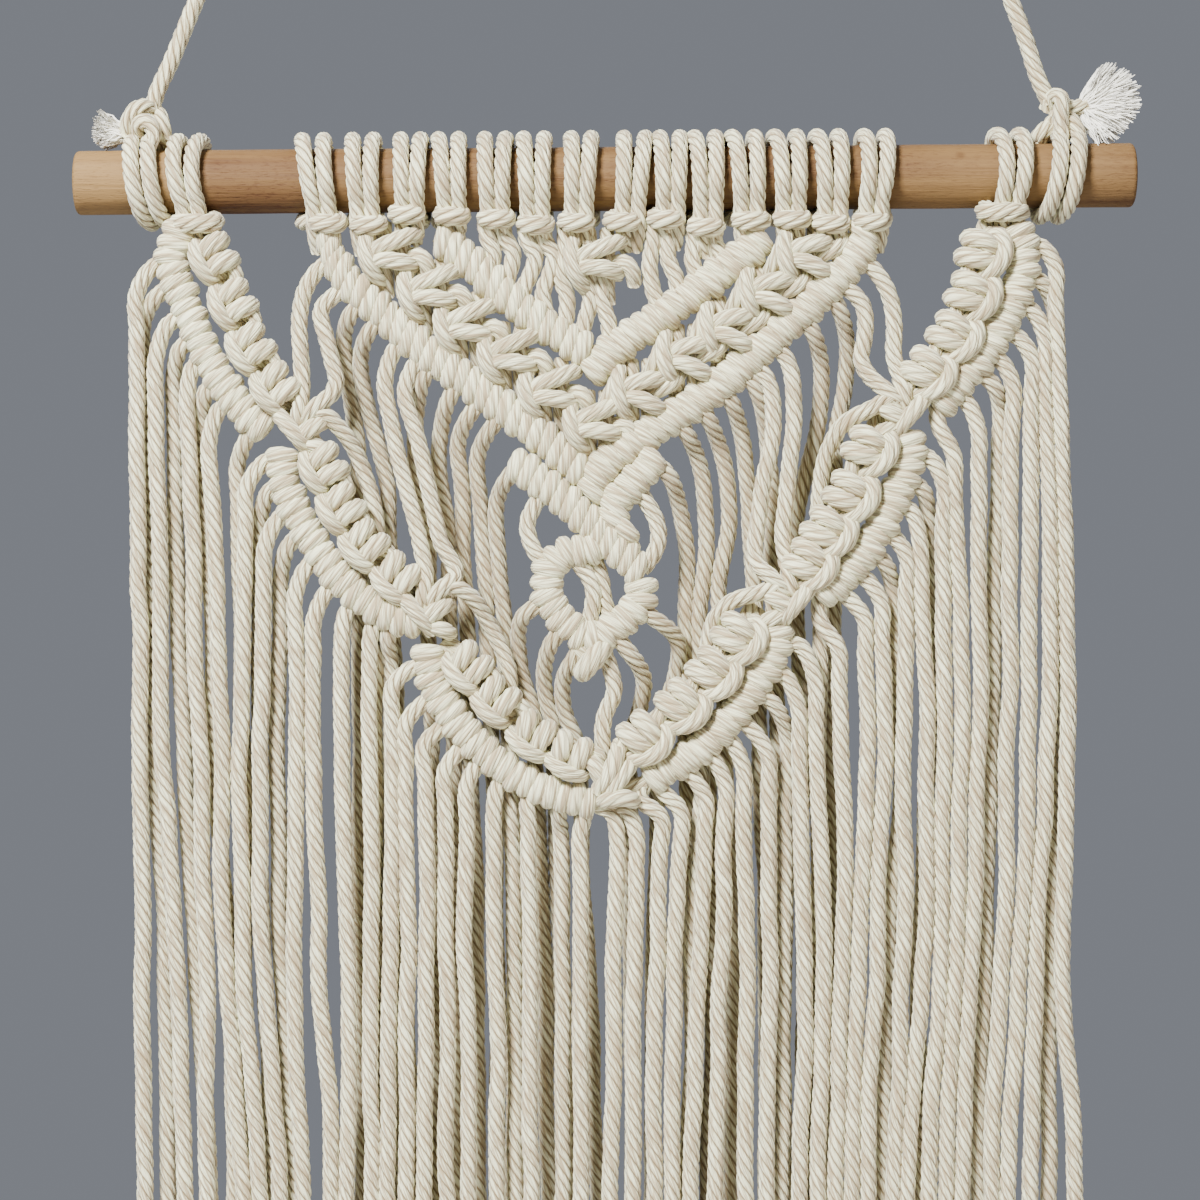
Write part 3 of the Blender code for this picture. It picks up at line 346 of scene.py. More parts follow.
# Fringe of the swags, left to right. Each strand leaves the outer side of its bar at the
# root, turns down at the shoulder and hangs past three levels. Those numbered in
# MIDDLE_STRANDS hang a layer further back than the others.
LEVELS = (155.6, 225.4, 286.6)
SWAG_FRINGE = (  # root, shoulder, across at each level
    ((-127.0, 24.9), (-133.8, 33.5), (-133.1, -132.3, -131.6)),
    ((-126.6, 32.9), (-132.9, 42.6), (-130.0, -126.3, -125.7)),
    ((-123.4, 41.1), (-128.3, 52.6), (-126.9, -122.3, -120.0)),
    ((-119.7, 47.4), (-124.0, 57.1), (-121.4, -117.4, -113.7)),
    ((-116.6, 53.1), (-119.4, 62.9), (-116.3, -114.0, -114.0)),
    ((-113.1, 60.0), (-115.7, 70.0), (-112.3, -108.6, -106.3)),
    ((-109.4, 65.7), (-113.1, 75.7), (-110.0, -108.6, -103.5)),
    ((-101.1, 73.1), (-105.7, 82.9), (-104.0, -103.7, -102.3)),
    ((-95.4, 80.9), (-102.3, 88.6), (-104.0, -103.2, -98.5)),
    ((-94.9, 89.1), (-98.9, 98.0), (-98.9, -98.3, -95.4)),
    ((-92.3, 96.9), (-97.1, 106.0), (-98.5, -97.6, -93.0)),
    ((-89.1, 104.0), (-92.9, 113.1), (-94.0, -93.0, -89.0)),
    ((-84.3, 110.6), (-88.6, 120.0), (-88.0, -89.0, -86.5)),
    ((-79.4, 118.3), (-83.4, 127.1), (-83.4, -81.4, -78.3)),
    ((-74.0, 124.6), (-75.4, 133.7), (-75.4, -73.1, -74.0)),
    ((-66.6, 129.7), (-66.9, 137.1), (-66.6, -66.9, -66.6)),
    ((-62.0, 130.9), (-61.7, 138.0), (-62.2, -61.5, -61.0)),
    ((-53.4, 140.0), (-60.6, 145.7), (-61.7, -61.4, -62.0)),
    ((-52.0, 150.6), (-57.1, 156.6), (-57.4, -56.3, -57.1)),
    ((-46.6, 157.7), (-51.4, 162.3), (-52.0, -51.1, -51.7)),
    ((-41.7, 164.3), (-45.4, 169.4), (-45.7, -45.4, -45.1)),
    ((-37.1, 168.9), (-39.7, 174.3), (-40.0, -39.7, -38.9)),
    ((-30.6, 174.3), (-31.7, 181.4), (-31.7, -30.9, -30.9)),
    ((-22.0, 178.0), (-21.7, 185.0), (-21.7, -21.4, -21.4)),
    ((-13.1, 180.0), (-12.9, 187.0), (-13.0, -12.3, -11.9)),
    ((-5.4, 181.5), (-7.1, 188.0), (-7.1, -7.1, -7.1)),
    ((2.0, 182.0), (3.4, 189.0), (3.4, 2.9, 1.8)),
    ((6.3, 181.4), (8.9, 188.0), (8.9, 8.3, 7.8)),
    ((9.7, 177.4), (16.0, 183.0), (16.2, 15.0, 13.8)),
    ((16.3, 175.4), (21.4, 181.0), (21.4, 20.3, 18.7)),
    ((24.6, 171.0), (28.6, 177.4), (28.6, 26.9, 24.6)),
    ((30.3, 165.4), (34.6, 174.0), (34.6, 33.1, 31.4)),
    ((35.7, 161.0), (39.7, 169.7), (40.9, 40.6, 40.3)),
    ((40.9, 157.0), (46.9, 165.7), (48.0, 47.1, 46.3)),
    ((47.4, 150.0), (52.0, 160.0), (53.1, 51.5, 51.0)),
    ((50.9, 142.0), (55.4, 152.0), (57.1, 57.1, 55.5)),
    ((54.9, 133.7), (60.0, 143.7), (62.6, 62.6, 61.1)),
    ((61.7, 127.0), (66.9, 134.6), (67.7, 67.7, 66.0)),
    ((69.7, 120.6), (74.0, 126.0), (75.4, 72.6, 70.6)),
    ((75.4, 115.7), (79.1, 121.4), (80.0, 77.5, 75.1)),
    ((79.4, 109.7), (82.6, 116.9), (84.9, 81.5, 79.5)),
    ((82.6, 103.1), (86.3, 108.6), (85.3, 85.4, 82.6)),
    ((87.4, 95.4), (89.9, 103.0), (92.3, 91.0, 86.6)),
    ((90.3, 88.9), (93.0, 97.0), (93.5, 90.4, 91.5)),
    ((92.0, 80.0), (96.9, 88.0), (97.4, 95.7, 92.3)),
    ((95.1, 70.0), (99.7, 79.4), (102.0, 100.3, 97.4)),
    ((103.4, 64.3), (106.9, 73.0), (107.1, 104.9, 102.0)),
    ((111.1, 59.4), (113.7, 66.0), (111.1, 109.5, 106.9)),
    ((112.6, 52.0), (116.6, 60.0), (115.4, 113.4, 110.6)),
    ((118.3, 46.0), (122.0, 52.0), (121.1, 118.9, 115.1)),
    ((121.4, 37.7), (126.3, 46.0), (127.1, 122.9, 122.0)),
    ((123.7, 29.4), (129.0, 38.0), (129.1, 128.3, 127.1)),
    ((123.6, 19.5), (128.6, 25.0), (132.6, 130.9, 134.3)),
)
MIDDLE_STRANDS = {1, 3, 5, 7, 9, 11, 16, 24, 34, 40, 43, 47, 51}

# Strands of the panel that hang behind the swags: route points, then the last two levels.
PANEL_FRINGE = (  # route, across at the last two levels
    (((-72.0, 38.5), (-74.9, 45.4), (-73.7, 56.9), (-70.9, 78.3)), (-70.9, -70.0)),
    (((-66.6, 43.5), (-70.0, 51.1), (-68.9, 64.0), (-62.9, 89.7)), (-58.0, -55.1)),
    (((-50.9, 56.0), (-54.3, 66.0), (-55.1, 79.0), (-51.4, 102.0)), (-49.0, -48.6)),
    (((-43.4, 61.5), (-47.1, 71.1), (-48.3, 80.0), (-45.5, 102.0)), (-43.0, -42.9)),
    (((-37.5, 66.5), (-42.3, 75.4), (-41.0, 90.0), (-40.5, 112.0)), (-37.1, -36.5)),
    (((-31.5, 70.5), (-36.3, 78.3), (-36.0, 95.0), (-34.5, 118.3)), (-31.0, -31.5)),
    (((-26.5, 84.5), (-30.6, 91.0), (-30.5, 110.0), (-29.0, 128.0)), (-25.5, -26.5)),
    (((-21.5, 124.0), (-25.1, 130.0), (-24.6, 139.7), (-20.0, 157.0)), (-18.0, -16.3)),
    (((-14.0, 131.5), (-17.4, 140.3), (-17.1, 149.1), (-15.1, 159.0)), (-12.9, -10.5)),
    (((-8.0, 136.5), (-12.0, 144.6), (-11.5, 153.4), (-8.5, 161.0)), (-5.1, -2.6)),
    (((6.0, 135.0), (11.4, 143.7), (10.6, 152.3), (7.0, 164.0)), (8.0, 8.0)),
    (((13.5, 126.0), (21.1, 133.1), (20.6, 142.3), (16.0, 156.0)), (14.0, 13.7)),
    (((17.5, 84.5), (21.0, 93.1), (23.0, 104.0), (22.9, 139.7)), (25.0, 24.9)),
    (((22.5, 72.0), (26.3, 79.1), (29.5, 101.1), (27.5, 131.0)), (31.0, 30.0)),
    (((28.5, 67.5), (32.9, 76.6), (36.0, 98.3), (33.0, 118.3)), (36.9, 36.5)),
    (((35.0, 62.5), (39.1, 72.0), (41.4, 88.0), (42.6, 104.0)), (46.6, 46.6)),
    (((41.5, 58.0), (46.0, 70.0), (47.5, 80.0), (48.5, 93.0)), (51.4, 52.0)),
    (((58.5, 43.0), (62.3, 52.0), (61.4, 72.0), (55.7, 96.6)), (57.5, 58.0)),
    (((65.5, 35.5), (69.5, 46.0), (69.7, 57.0), (67.0, 75.0)), (64.5, 63.0)),
)
# Strands of the panel that end in a join: route.
PANEL_TIES = (
    ((-80.5, 25.5), (-85.1, 31.1), (-87.4, 41.1), (-86.6, 52.0)),
    ((-76.5, 33.5), (-80.9, 37.4), (-79.7, 46.9), (-77.0, 57.5)),
    ((-60.0, 49.5), (-62.6, 56.9), (-61.1, 69.7), (-53.3, 104.0)),
    ((-54.5, 54.0), (-57.0, 60.5), (-54.0, 72.6), (-46.9, 104.0)),
    ((1.5, 141.0), (2.6, 147.0), (-0.2, 154.5), (-0.6, 159.3)),
    ((51.5, 51.5), (54.1, 66.7), (53.1, 80.9), (50.8, 101.0)),
    ((45.8, 57.0), (48.3, 71.0), (45.4, 85.7), (43.1, 101.0)),
    ((69.5, 32.0), (73.4, 36.0), (74.6, 45.7), (73.5, 51.5)),
    ((75.7, 25.4), (80.0, 31.1), (82.6, 42.9), (82.0, 50.0)),
)
# Strands that leave a join and hang in the middle layer: route, last two levels.
JOIN_FRINGE = (
    (((-81.5, 67.5), (-76.3, 71.5), (-70.0, 82.0), (-65.4, 98.9)), (-66.0, -64.0)),
    (((-44.5, 117.0), (-39.1, 119.4), (-33.5, 128.0), (-28.0, 141.5)), (-26.0, -25.5)),
    (((44.5, 119.0), (36.5, 121.5), (31.0, 128.0), (29.4, 135.4)), (25.5, 24.0)),
    (((76.0, 66.5), (68.3, 70.5), (63.5, 79.5), (62.0, 91.1)), (60.5, 58.5)),
)

# The hanging cord. Its two legs run straight from the bend over the nail to a knot above
# the dowel, where each end is wrapped twice round the dowel and then frays out.
NAIL_BEND = ((0.0, -335.5), (2.6, -334.3), (4.8, -330.0), (8.0, -321.5))  # across, drop
LEGS = {  # across, drop
    -1: ((-119.8, -46.0), (-125.1, -33.1), (-129.2, -24.0), (-130.7, -17.3)),
    1: ((117.3, -50.3), (121.5, -38.9), (124.2, -30.1), (128.1, -21.4)),
}
HANGER_KNOTS = {-1: (-131.3, -15.8), 1: (130.3, -17.5)}  # across, drop
# The strands that show in each knot: across, drop and back.
HANGER_TURNS = (
    ((-137.9, -12.7, -1.0), (-136.6, -16.3, -3.0), (-134.3, -19.6, -4.0), (-131.8, -20.6, -2.5),
     (-130.2, -19.0, 1.5)),
    ((-134.2, -13.0, -1.0), (-133.0, -15.6, -4.6), (-130.6, -15.6, -5.6), (-129.1, -12.4, -5.4),
     (-130.2, -8.6, -7.0)),
    ((-128.8, -19.4, 1.0), (-127.4, -16.5, -1.5), (-126.8, -12.7, -0.8), (-128.0, -8.6, 2.0)),
    ((127.2, -20.0, 1.0), (129.0, -23.6, -2.0), (130.6, -22.4, -4.8), (130.3, -17.9, -5.8),
     (130.6, -13.0, -5.6), (130.0, -9.4, -7.0)),
    ((129.4, -17.6, 0.0), (132.0, -20.2, -1.4), (135.1, -20.4, -1.2), (138.4, -21.0, -0.4)),
    ((129.8, -17.2, -0.6), (127.4, -14.2, 0.5), (124.8, -10.6, 2.4)),
    ((132.2, -18.4, -1.6), (134.4, -15.0, -4.2), (135.6, -11.0, -5.6), (135.6, -8.4, -7.4)),
)
WRAPS = {-1: (-135.6, 5.0), 1: (135.6, -5.2)}  # across at the start, shift of a turn
FRAYS = (  # root, tips
    (
        (-136.8, -12.9),
        ((-144.4, -19.8), (-146.4, -16.8), (-147.4, -13.4), (-146.6, -10.6), (-144.0, -8.6)),
    ),
    (
        (136.4, -20.8),
        (
            (142.2, -32.6), (145.8, -33.0), (150.2, -30.6), (153.0, -26.6), (154.0, -21.4),
            (150.6, -15.4), (146.5, -10.9), (141.4, -8.9),
        ),
    ),
)

CENTRE = 2  # the number of the join in the middle
PANEL_BARS = [*V_BARS.values(), DIAMOND]
SWAG_BARS = [swag.bar for swag in SWAGS]


class Layer(Enum):
    """The depths in which the fringe hangs."""

    FRONT = -5.6
    MIDDLE = -0.7
    REAR = 5.6


class Node(Enum):
    """The solids of the frame."""

    DOWEL = "dowel"
    HANGER = "hanging_cord"
    PANEL = "centre_panel"
    SWAGS = "swags"


def at(across: float, drop: float, back: float = 0.0) -> Vector:
    """The place of a point of the tables.

    Args:
        across: Distance to the right of the dowel's middle.
        drop: Distance below the dowel's axis.
        back: Distance away from the viewer.

    Returns:
        The point in metres.
    """
    return Vector((across, back, -drop - NAIL_ABOVE_DOWEL)) * MM


def on_dowel(across: float, height: float, back: float) -> Vector:
    """A point given along and above the dowel's own tilted axis.

    Args:
        across: Distance along the dowel from its middle.
        height: Distance above its axis.
        back: Distance away from the viewer.

    Returns:
        The point in metres.
    """
    turn = math.cos(DOWEL_TILT), math.sin(DOWEL_TILT)
    return at(across * turn[0] - height * turn[1], -across * turn[1] - height * turn[0], back)


def smoothed(points: list[Vector], steps: int, closed: bool = False) -> list[Vector]:
    """A smooth line through the given points, however unevenly they lie.

    Args:
        points: The points to pass through.
        steps: How many steps each span is cut into.
        closed: Whether the line comes back to its start.

    Returns:
        The finer line, without its last point if it is closed.
    """
    count = len(points)
    spans = count if closed else count - 1
    runs = [points[(k + 1) % count] - points[k] for k in range(spans)]
    lengths = [max(run.length, TINY) for run in runs]
    slopes = [run / length for run, length in zip(runs, lengths)]
    leads = []
    for k in range(count):
        before, after = max(k - 1, 0), min(k, spans - 1)
        if closed:
            before = (k - 1) % count
        blend = slopes[before] * lengths[after] + slopes[after] * lengths[before]
        leads.append(blend / (lengths[before] + lengths[after]))
    found: list[Vector] = []
    for k in range(spans):
        first, last = points[k], points[(k + 1) % count]
        out = first + leads[k] * lengths[k] / 3
        back = last - leads[(k + 1) % count] * lengths[k] / 3
        found += interpolate_bezier(first, out, back, last, steps + 1)[:-1]
    return found if closed else [*found, points[-1].copy()]


def spaced(points: list[Vector], step: float) -> list[Vector]:
    """Points at even distances along a line.

    Args:
        points: The line.
        step: The distance wanted, in metres.

    Returns:
        The evenly spaced points, both ends among them.
    """
    lengths = [(b - a).length for a, b in zip(points, points[1:])]
    total = sum(lengths)
    count = max(2, round(total / step))
    found, span, walked = [], 0, 0.0
    for k in range(count + 1):
        target = total * k / count
        while span < len(lengths) - 1 and walked + lengths[span] < target:
            walked += lengths[span]
            span += 1
        share = (target - walked) / max(lengths[span], TINY)
        found.append(points[span].lerp(points[span + 1], min(1.0, share)))
    return found


def nearest(routes: list[Route], place: Place) -> Place:
    """The point of some routes that is nearest to a place.

    Args:
        routes: Routes of places.
        place: The place to start from.

    Returns:
        The nearest place on any of the routes.
    """
    here = Vector(place)
    found = []
    for route in routes:
        for first, second in zip(route, route[1:]):
            a, b = Vector(first), Vector(second)
            share = (here - a).dot(b - a) / (b - a).length_squared
            found.append(a.lerp(b, min(1.0, max(0.0, share))))
    spot = min(found, key=lambda other: (other - here).length)
    return spot.x, spot.y


@dataclass(frozen=True)
class Waves:
    """The soft waves that knotting leaves in a hanging strand. Lengths are millimetres."""

    sideways: float
    inwards: float
    slow_length: float = 34.0
    quick_length: float = 13.0
    quick_share: float = 0.35
    depth_length: float = 27.0
    growth: float = 30.0
    strength: float = 1.6
    spacing: float = 3.0

    def along(self, line: list[Vector], seed: float) -> list[Vector]:
        """A strand's line with its waves.

        Args:
            line: The line, from its root down, in metres.
            seed: A number that gives each strand waves of its own.

        Returns:
            The waved line.
        """
        points = spaced(line, self.spacing * MM)
        found, walked = [], 0.0
        for k, point in enumerate(points):
            walked += (point - points[k - 1]).length / MM if k else 0.0
            slow = noise.noise(Vector((walked / self.slow_length, seed, 0.0)))
            quick = noise.noise(Vector((walked / self.quick_length, seed, 9.0)))
            depth = noise.noise(Vector((walked / self.depth_length, seed, 23.0)))
            wide = self.sideways * (slow + self.quick_share * quick)
            shift = Vector((wide, self.inwards * depth, 0.0)) * self.strength
            found.append(point + shift * min(1.0, walked / self.growth) * MM)
        return found


def linked(name: str, data: bpy.types.ID) -> bpy.types.Object:
    """Makes an object of some data and puts it in the scene.

    Args:
        name: The object's name.
        data: Its mesh, curve, light or camera.

    Returns:
        The object.
    """
    made = bpy.data.objects.new(name, data)
    bpy.context.scene.collection.objects.link(made)
    return made


def cast(shape: bmesh.types.BMesh, name: str, finish: bpy.types.Material) -> bpy.types.Object:
    """Makes an object of one finish from a worked shape, and frees the shape.

    Args:
        shape: The worked shape.
        name: The name of the object and of its mesh.
        finish: Its material.

    Returns:
        The object.
    """
    mesh = bpy.data.meshes.new(name)
    shape.to_mesh(mesh)
    shape.free()
    mesh.materials.append(finish)
    return linked(name, mesh)


def mounted(piece: bpy.types.Object, node: Node) -> None:
    """Puts a piece on the frame in place of one of its solids.

    Args:
        piece: The finished piece.
        node: The solid that it stands for.
    """
    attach(piece, "root")
    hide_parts(node.value)
    piece.data.calc_loop_triangles()
    LOG.info("%s: %d triangles, for %s", piece.name, len(piece.data.loop_triangles), node.value)


class Reading:
    """A number that varies over a surface, as the output of a shader node."""

    def __init__(self, bench: "Bench", socket: bpy.types.NodeSocket) -> None:
        """Keeps the socket and the bench whose tree it is in."""
        self.bench = bench
        self.socket = socket

    def _with(self, operation: str, first: object, second: object) -> "Reading":
        """One Math node on two values, each a reading or a number."""
        node = self.bench.node("ShaderNodeMath", {0: first, 1: second}, operation=operation)
        return Reading(self.bench, node.outputs[0])

    def __add__(self, other: object) -> "Reading":
        """Sum."""
        return self._with("ADD", self, other)

    __radd__ = __add__

    def __sub__(self, other: object) -> "Reading":
        """Difference."""
        return self._with("SUBTRACT", self, other)

    def __rsub__(self, other: object) -> "Reading":
        """Difference, from the other side."""
        return self._with("SUBTRACT", other, self)

    def __mul__(self, other: object) -> "Reading":
        """Product."""
        return self._with("MULTIPLY", self, other)

    __rmul__ = __mul__

    def __pow__(self, other: object) -> "Reading":
        """Power."""
        return self._with("POWER", self, other)

    def cosine(self) -> "Reading":
        """Cosine."""
        return self._with("COSINE", self, 0.0)

    def sine(self) -> "Reading":
        """Sine."""
        return self._with("SINE", self, 0.0)

    def limited(self) -> "Reading":
        """The value kept between 0 and 1."""
        return self._with("MINIMUM", self._with("MAXIMUM", self, 0.0), 1.0)


class Bench:
    """Builds one material's node tree."""

    def __init__(self, name: str) -> None:
        """Starts a material with a plain Principled tree.

        Args:
            name: The material's name.
        """
        self.material = bpy.data.materials.new(name)
        self.material.use_nodes = True
        self.tree = self.material.node_tree

    def node(self, kind: str, values: dict[object, object], **settings: object) -> bpy.types.Node:
        """Adds a node.

        Args:
            kind: The node's type.
            values: Numbers, colours, readings or sockets for its inputs.
            settings: Settings of the node itself, set first.

        Returns:
            The new node.
        """
        made = self.tree.nodes.new(kind)
        for key, value in settings.items():
            setattr(made, key, value)
        for key, value in values.items():
            self.feed(made.inputs[key], value)
        return made

    def feed(self, socket: bpy.types.NodeSocket, value: object) -> None:
        """Sets a socket to a number or colour, or links a reading or socket to it.

        Args:
            socket: The input.
            value: A number, a colour, a reading or a socket.
        """
        if isinstance(value, Reading):
            self.tree.links.new(value.socket, socket)
        elif isinstance(value, bpy.types.NodeSocket):
            self.tree.links.new(value, socket)
        else:
            socket.default_value = value

    def reading(self, node: bpy.types.Node, output: int | str = 0) -> Reading:
        """One output of a node as a reading."""
        return Reading(self, node.outputs[output])

    def split(self, vector: bpy.types.NodeSocket) -> list[Reading]:
        """The three values of a vector."""
        node = self.node("ShaderNodeSeparateXYZ", {0: vector})
        return [self.reading(node, k) for k in range(3)]

    def grain(
        self, x: object, y: object, z: object, scale: float = 1.0, detail: float = 2.0
    ) -> Reading:
        """Soft noise over three values, from 0 to 1.

        Args:
            x: The first value.
            y: The second value.
            z: The third value.
            scale: How fine the noise is.
            detail: How many finer layers it has.

        Returns:
            The noise.
        """
        place = self.node("ShaderNodeCombineXYZ", {0: x, 1: y, 2: z}).outputs[0]
        values = {"Vector": place, "Scale": scale, "Detail": detail, "Roughness": 0.55}
        return self.reading(self.node("ShaderNodeTexNoise", values), "Fac")

    def mixed(self, share: object, first: object, second: object) -> bpy.types.NodeSocket:
        """Two colours mixed by a share.

        Args:
            share: The second colour's share.
            first: The first colour.
            second: The second colour.

        Returns:
            The mixed colour.
        """
        values = {0: share, 6: first, 7: second}
        node = self.node("ShaderNodeMix", values, data_type="RGBA", clamp_factor=True)
        return node.outputs[2]

    def relief(self, height: Reading, depth: float) -> bpy.types.NodeSocket:
        """The normal of a fine relief of this depth in metres."""
        values = {"Height": height, "Distance": depth, "Strength": 1.0}
        return self.node("ShaderNodeBump", values).outputs[0]

    def finished(self, looks: dict[str, object]) -> bpy.types.Material:
        """Feeds the shader its looks.

        Args:
            looks: Numbers, colours, readings or sockets by the names of its inputs.

        Returns:
            The finished material.
        """
        for name, value in looks.items():
            self.feed(self.tree.nodes["Principled BSDF"].inputs[name], value)
        return self.material


@dataclass(frozen=True)
class CottonFinish:
    """Undyed twisted cotton: plies with grooves between them, fine fibres along each, and painted
    shade in the grooves and on cords that lie behind others.
    """

    name: str
    light: Colour = (0.885, 0.88, 0.59, 1.0)
    # Colour of the painted shade in the ply grooves and on cords that lie behind others.
    painted_groove_shade: Colour = (0.20, 0.14, 0.065, 1.0)
    worn: Colour = (0.46, 0.37, 0.22, 1.0)
    plies: int = 5
    fibre_turn: float = 2.0
    fibre_girth: float = 2.4
    relief: float = 0.0009

    def made(self) -> bpy.types.Material:
        """Builds the material.

        Returns:
            A material that follows the cord's own map: centimetres along it, and turns
            round it.
        """
        bench = Bench(self.name)
        along, round_it, _ = bench.split(
            bench.node("ShaderNodeUVMap", {}, uv_map="UVMap").outputs[0]
        )
        turn = round_it * math.tau
        # Fibres lie steeper than the plies that they make up.
        laid = turn + along * self.fibre_turn
        east, north = laid.cosine(), laid.sine()
        wide = east * self.fibre_girth, north * self.fibre_girth
        fibres = bench.grain(*wide, along * 0.7, 2.0, 2.6)
        yarns = bench.grain(*wide, along * 0.35, 1.5, 1.0)
        patches = bench.grain(east, north, along * 0.5, 0.35, 1.0)
        # Each cord's painted shade, and how tight its plies are.
        tone, tightness = (
            bench.reading(bench.node("ShaderNodeAttribute", {}, attribute_name=name), 2)
            for name in ("tone", "tightness")
        )
        # Painted shade in each groove between two plies: a wide soft shade and a narrow dark line,
        # less where the plies are pressed flat.
        hollow = 0.5 + (turn * self.plies).cosine() * 0.5
        valley = hollow**2.4 * 0.5 + hollow**14.0 * 0.75
        painted_groove_shade = valley * (1.0 - tightness * 0.75)
        streaks = ((fibres - 0.42) * 7.0).limited()
        wear = (1.0 - streaks) * 1.05 + (0.5 - yarns) * 0.8 + (patches - 0.5) * 0.5 + 0.05
        body = bench.mixed(wear, self.light, self.worn)
        # Base colour: the fibres' own colour, darkened toward the painted shade colour in the ply
        # grooves and on cords given painted shade.
        return bench.finished(
            {
                "Base Color": bench.mixed(painted_groove_shade * 0.9 + tone, body, self.painted_groove_shade),
                "Roughness": 0.92 - streaks * 0.1,
                "Specular IOR Level": 0.25,
                "Sheen Weight": 0.25,
                "Sheen Roughness": 0.6,
                "Normal": bench.relief(fibres * 0.6 + yarns * 0.7, self.relief),
            }
        )


@dataclass(frozen=True)
class WoodFinish:
    """Raw light wood with its grain along the rod. Places on it are in metres."""

    name: str = "raw_wood"
    pale: Colour = (0.225, 0.132, 0.046, 1.0)
    dark: Colour = (0.062, 0.021, 0.005, 1.0)
    knot_at: tuple[float, float, float] = (0.1014, -0.0088, -0.3262)
    darker_patch_across: float = -0.100
    lighter_end_from: float = -0.112
    relief: float = 0.0004

    def made(self) -> bpy.types.Material:
        """Builds the material.

        Returns:
            A material in object coordinates.
        """
        bench = Bench(self.name)
        place = bench.node("ShaderNodeTexCoord", {}).outputs["Object"]
        x, y, z = bench.split(place)
        # Noise that is stretched along the rod, from the widest to the finest.
        clouds = bench.grain(x * 14.0, y * 40.0, z * 40.0)
        long_grain = bench.grain(x * 9.0, y * 260.0, z * 260.0, 1.0, 4.0)
        pores = bench.grain(x * 45.0, y * 1500.0, z * 1500.0)
        nicks = bench.grain(x * 420.0, y * 2000.0, z * 2000.0)
        lines = ((long_grain - 0.45) * 3.5).limited()
        flecks = ((nicks - 0.52) * 5.0).limited() * clouds
        # A small knot, a darker patch near the left wraps, and colour made lighter towards the left
        # end, beyond them.
        apart = bench.node(
            "ShaderNodeVectorMath", {0: place, 1: self.knot_at}, operation="DISTANCE"
        )
        knot = (1.0 - bench.reading(apart, 1) * 420.0).limited()
        from_darker_patch = x - self.darker_patch_across
        darker_patch = (1.0 - from_darker_patch * from_darker_patch * 1400.0).limited()
        lighter_end = ((self.lighter_end_from - x) * 70.0).limited()
        tint = darker_patch * 0.2 + knot * 0.9 - lighter_end * 0.55 + 0.42
        share = lines * 0.4 + (clouds - 0.5) * 0.9 + flecks * 0.5 + tint
        height = pores * 0.5 + long_grain * 0.7 - flecks * 0.3
        return bench.finished(
            {
                "Base Color": bench.mixed(share, self.pale, self.dark),
                "Roughness": 0.62 + pores * 0.2,
                "Specular IOR Level": 0.3,
                "Normal": bench.relief(height, self.relief),
            }
        )


@dataclass
class Cord:
    """One length of cord: its centre line, in metres, and its thickness along it."""

    line: list[Vector]
    radius: float = CORD_RADIUS
    swell: tuple[float, ...] = ()
    closed: bool = False
    # Painted shade: how much darker the cord is painted where it lies behind others.
    tone: float = 0.0
    steps: int = 6
    tightness: float = 0.0

    def share(self, where: float) -> float:
        """The share of the radius at this part of the length, from 0 to 1.

        Args:
            where: The part of the length, from 0 at its start to 1 at its end.

        Returns:
            The share of the radius.
        """
        if not self.swell:
            return 1.0
        place = where * (len(self.swell) - 1)
        low = min(int(place), len(self.swell) - 2)
        return self.swell[low] + (self.swell[low + 1] - self.swell[low]) * (place - low)


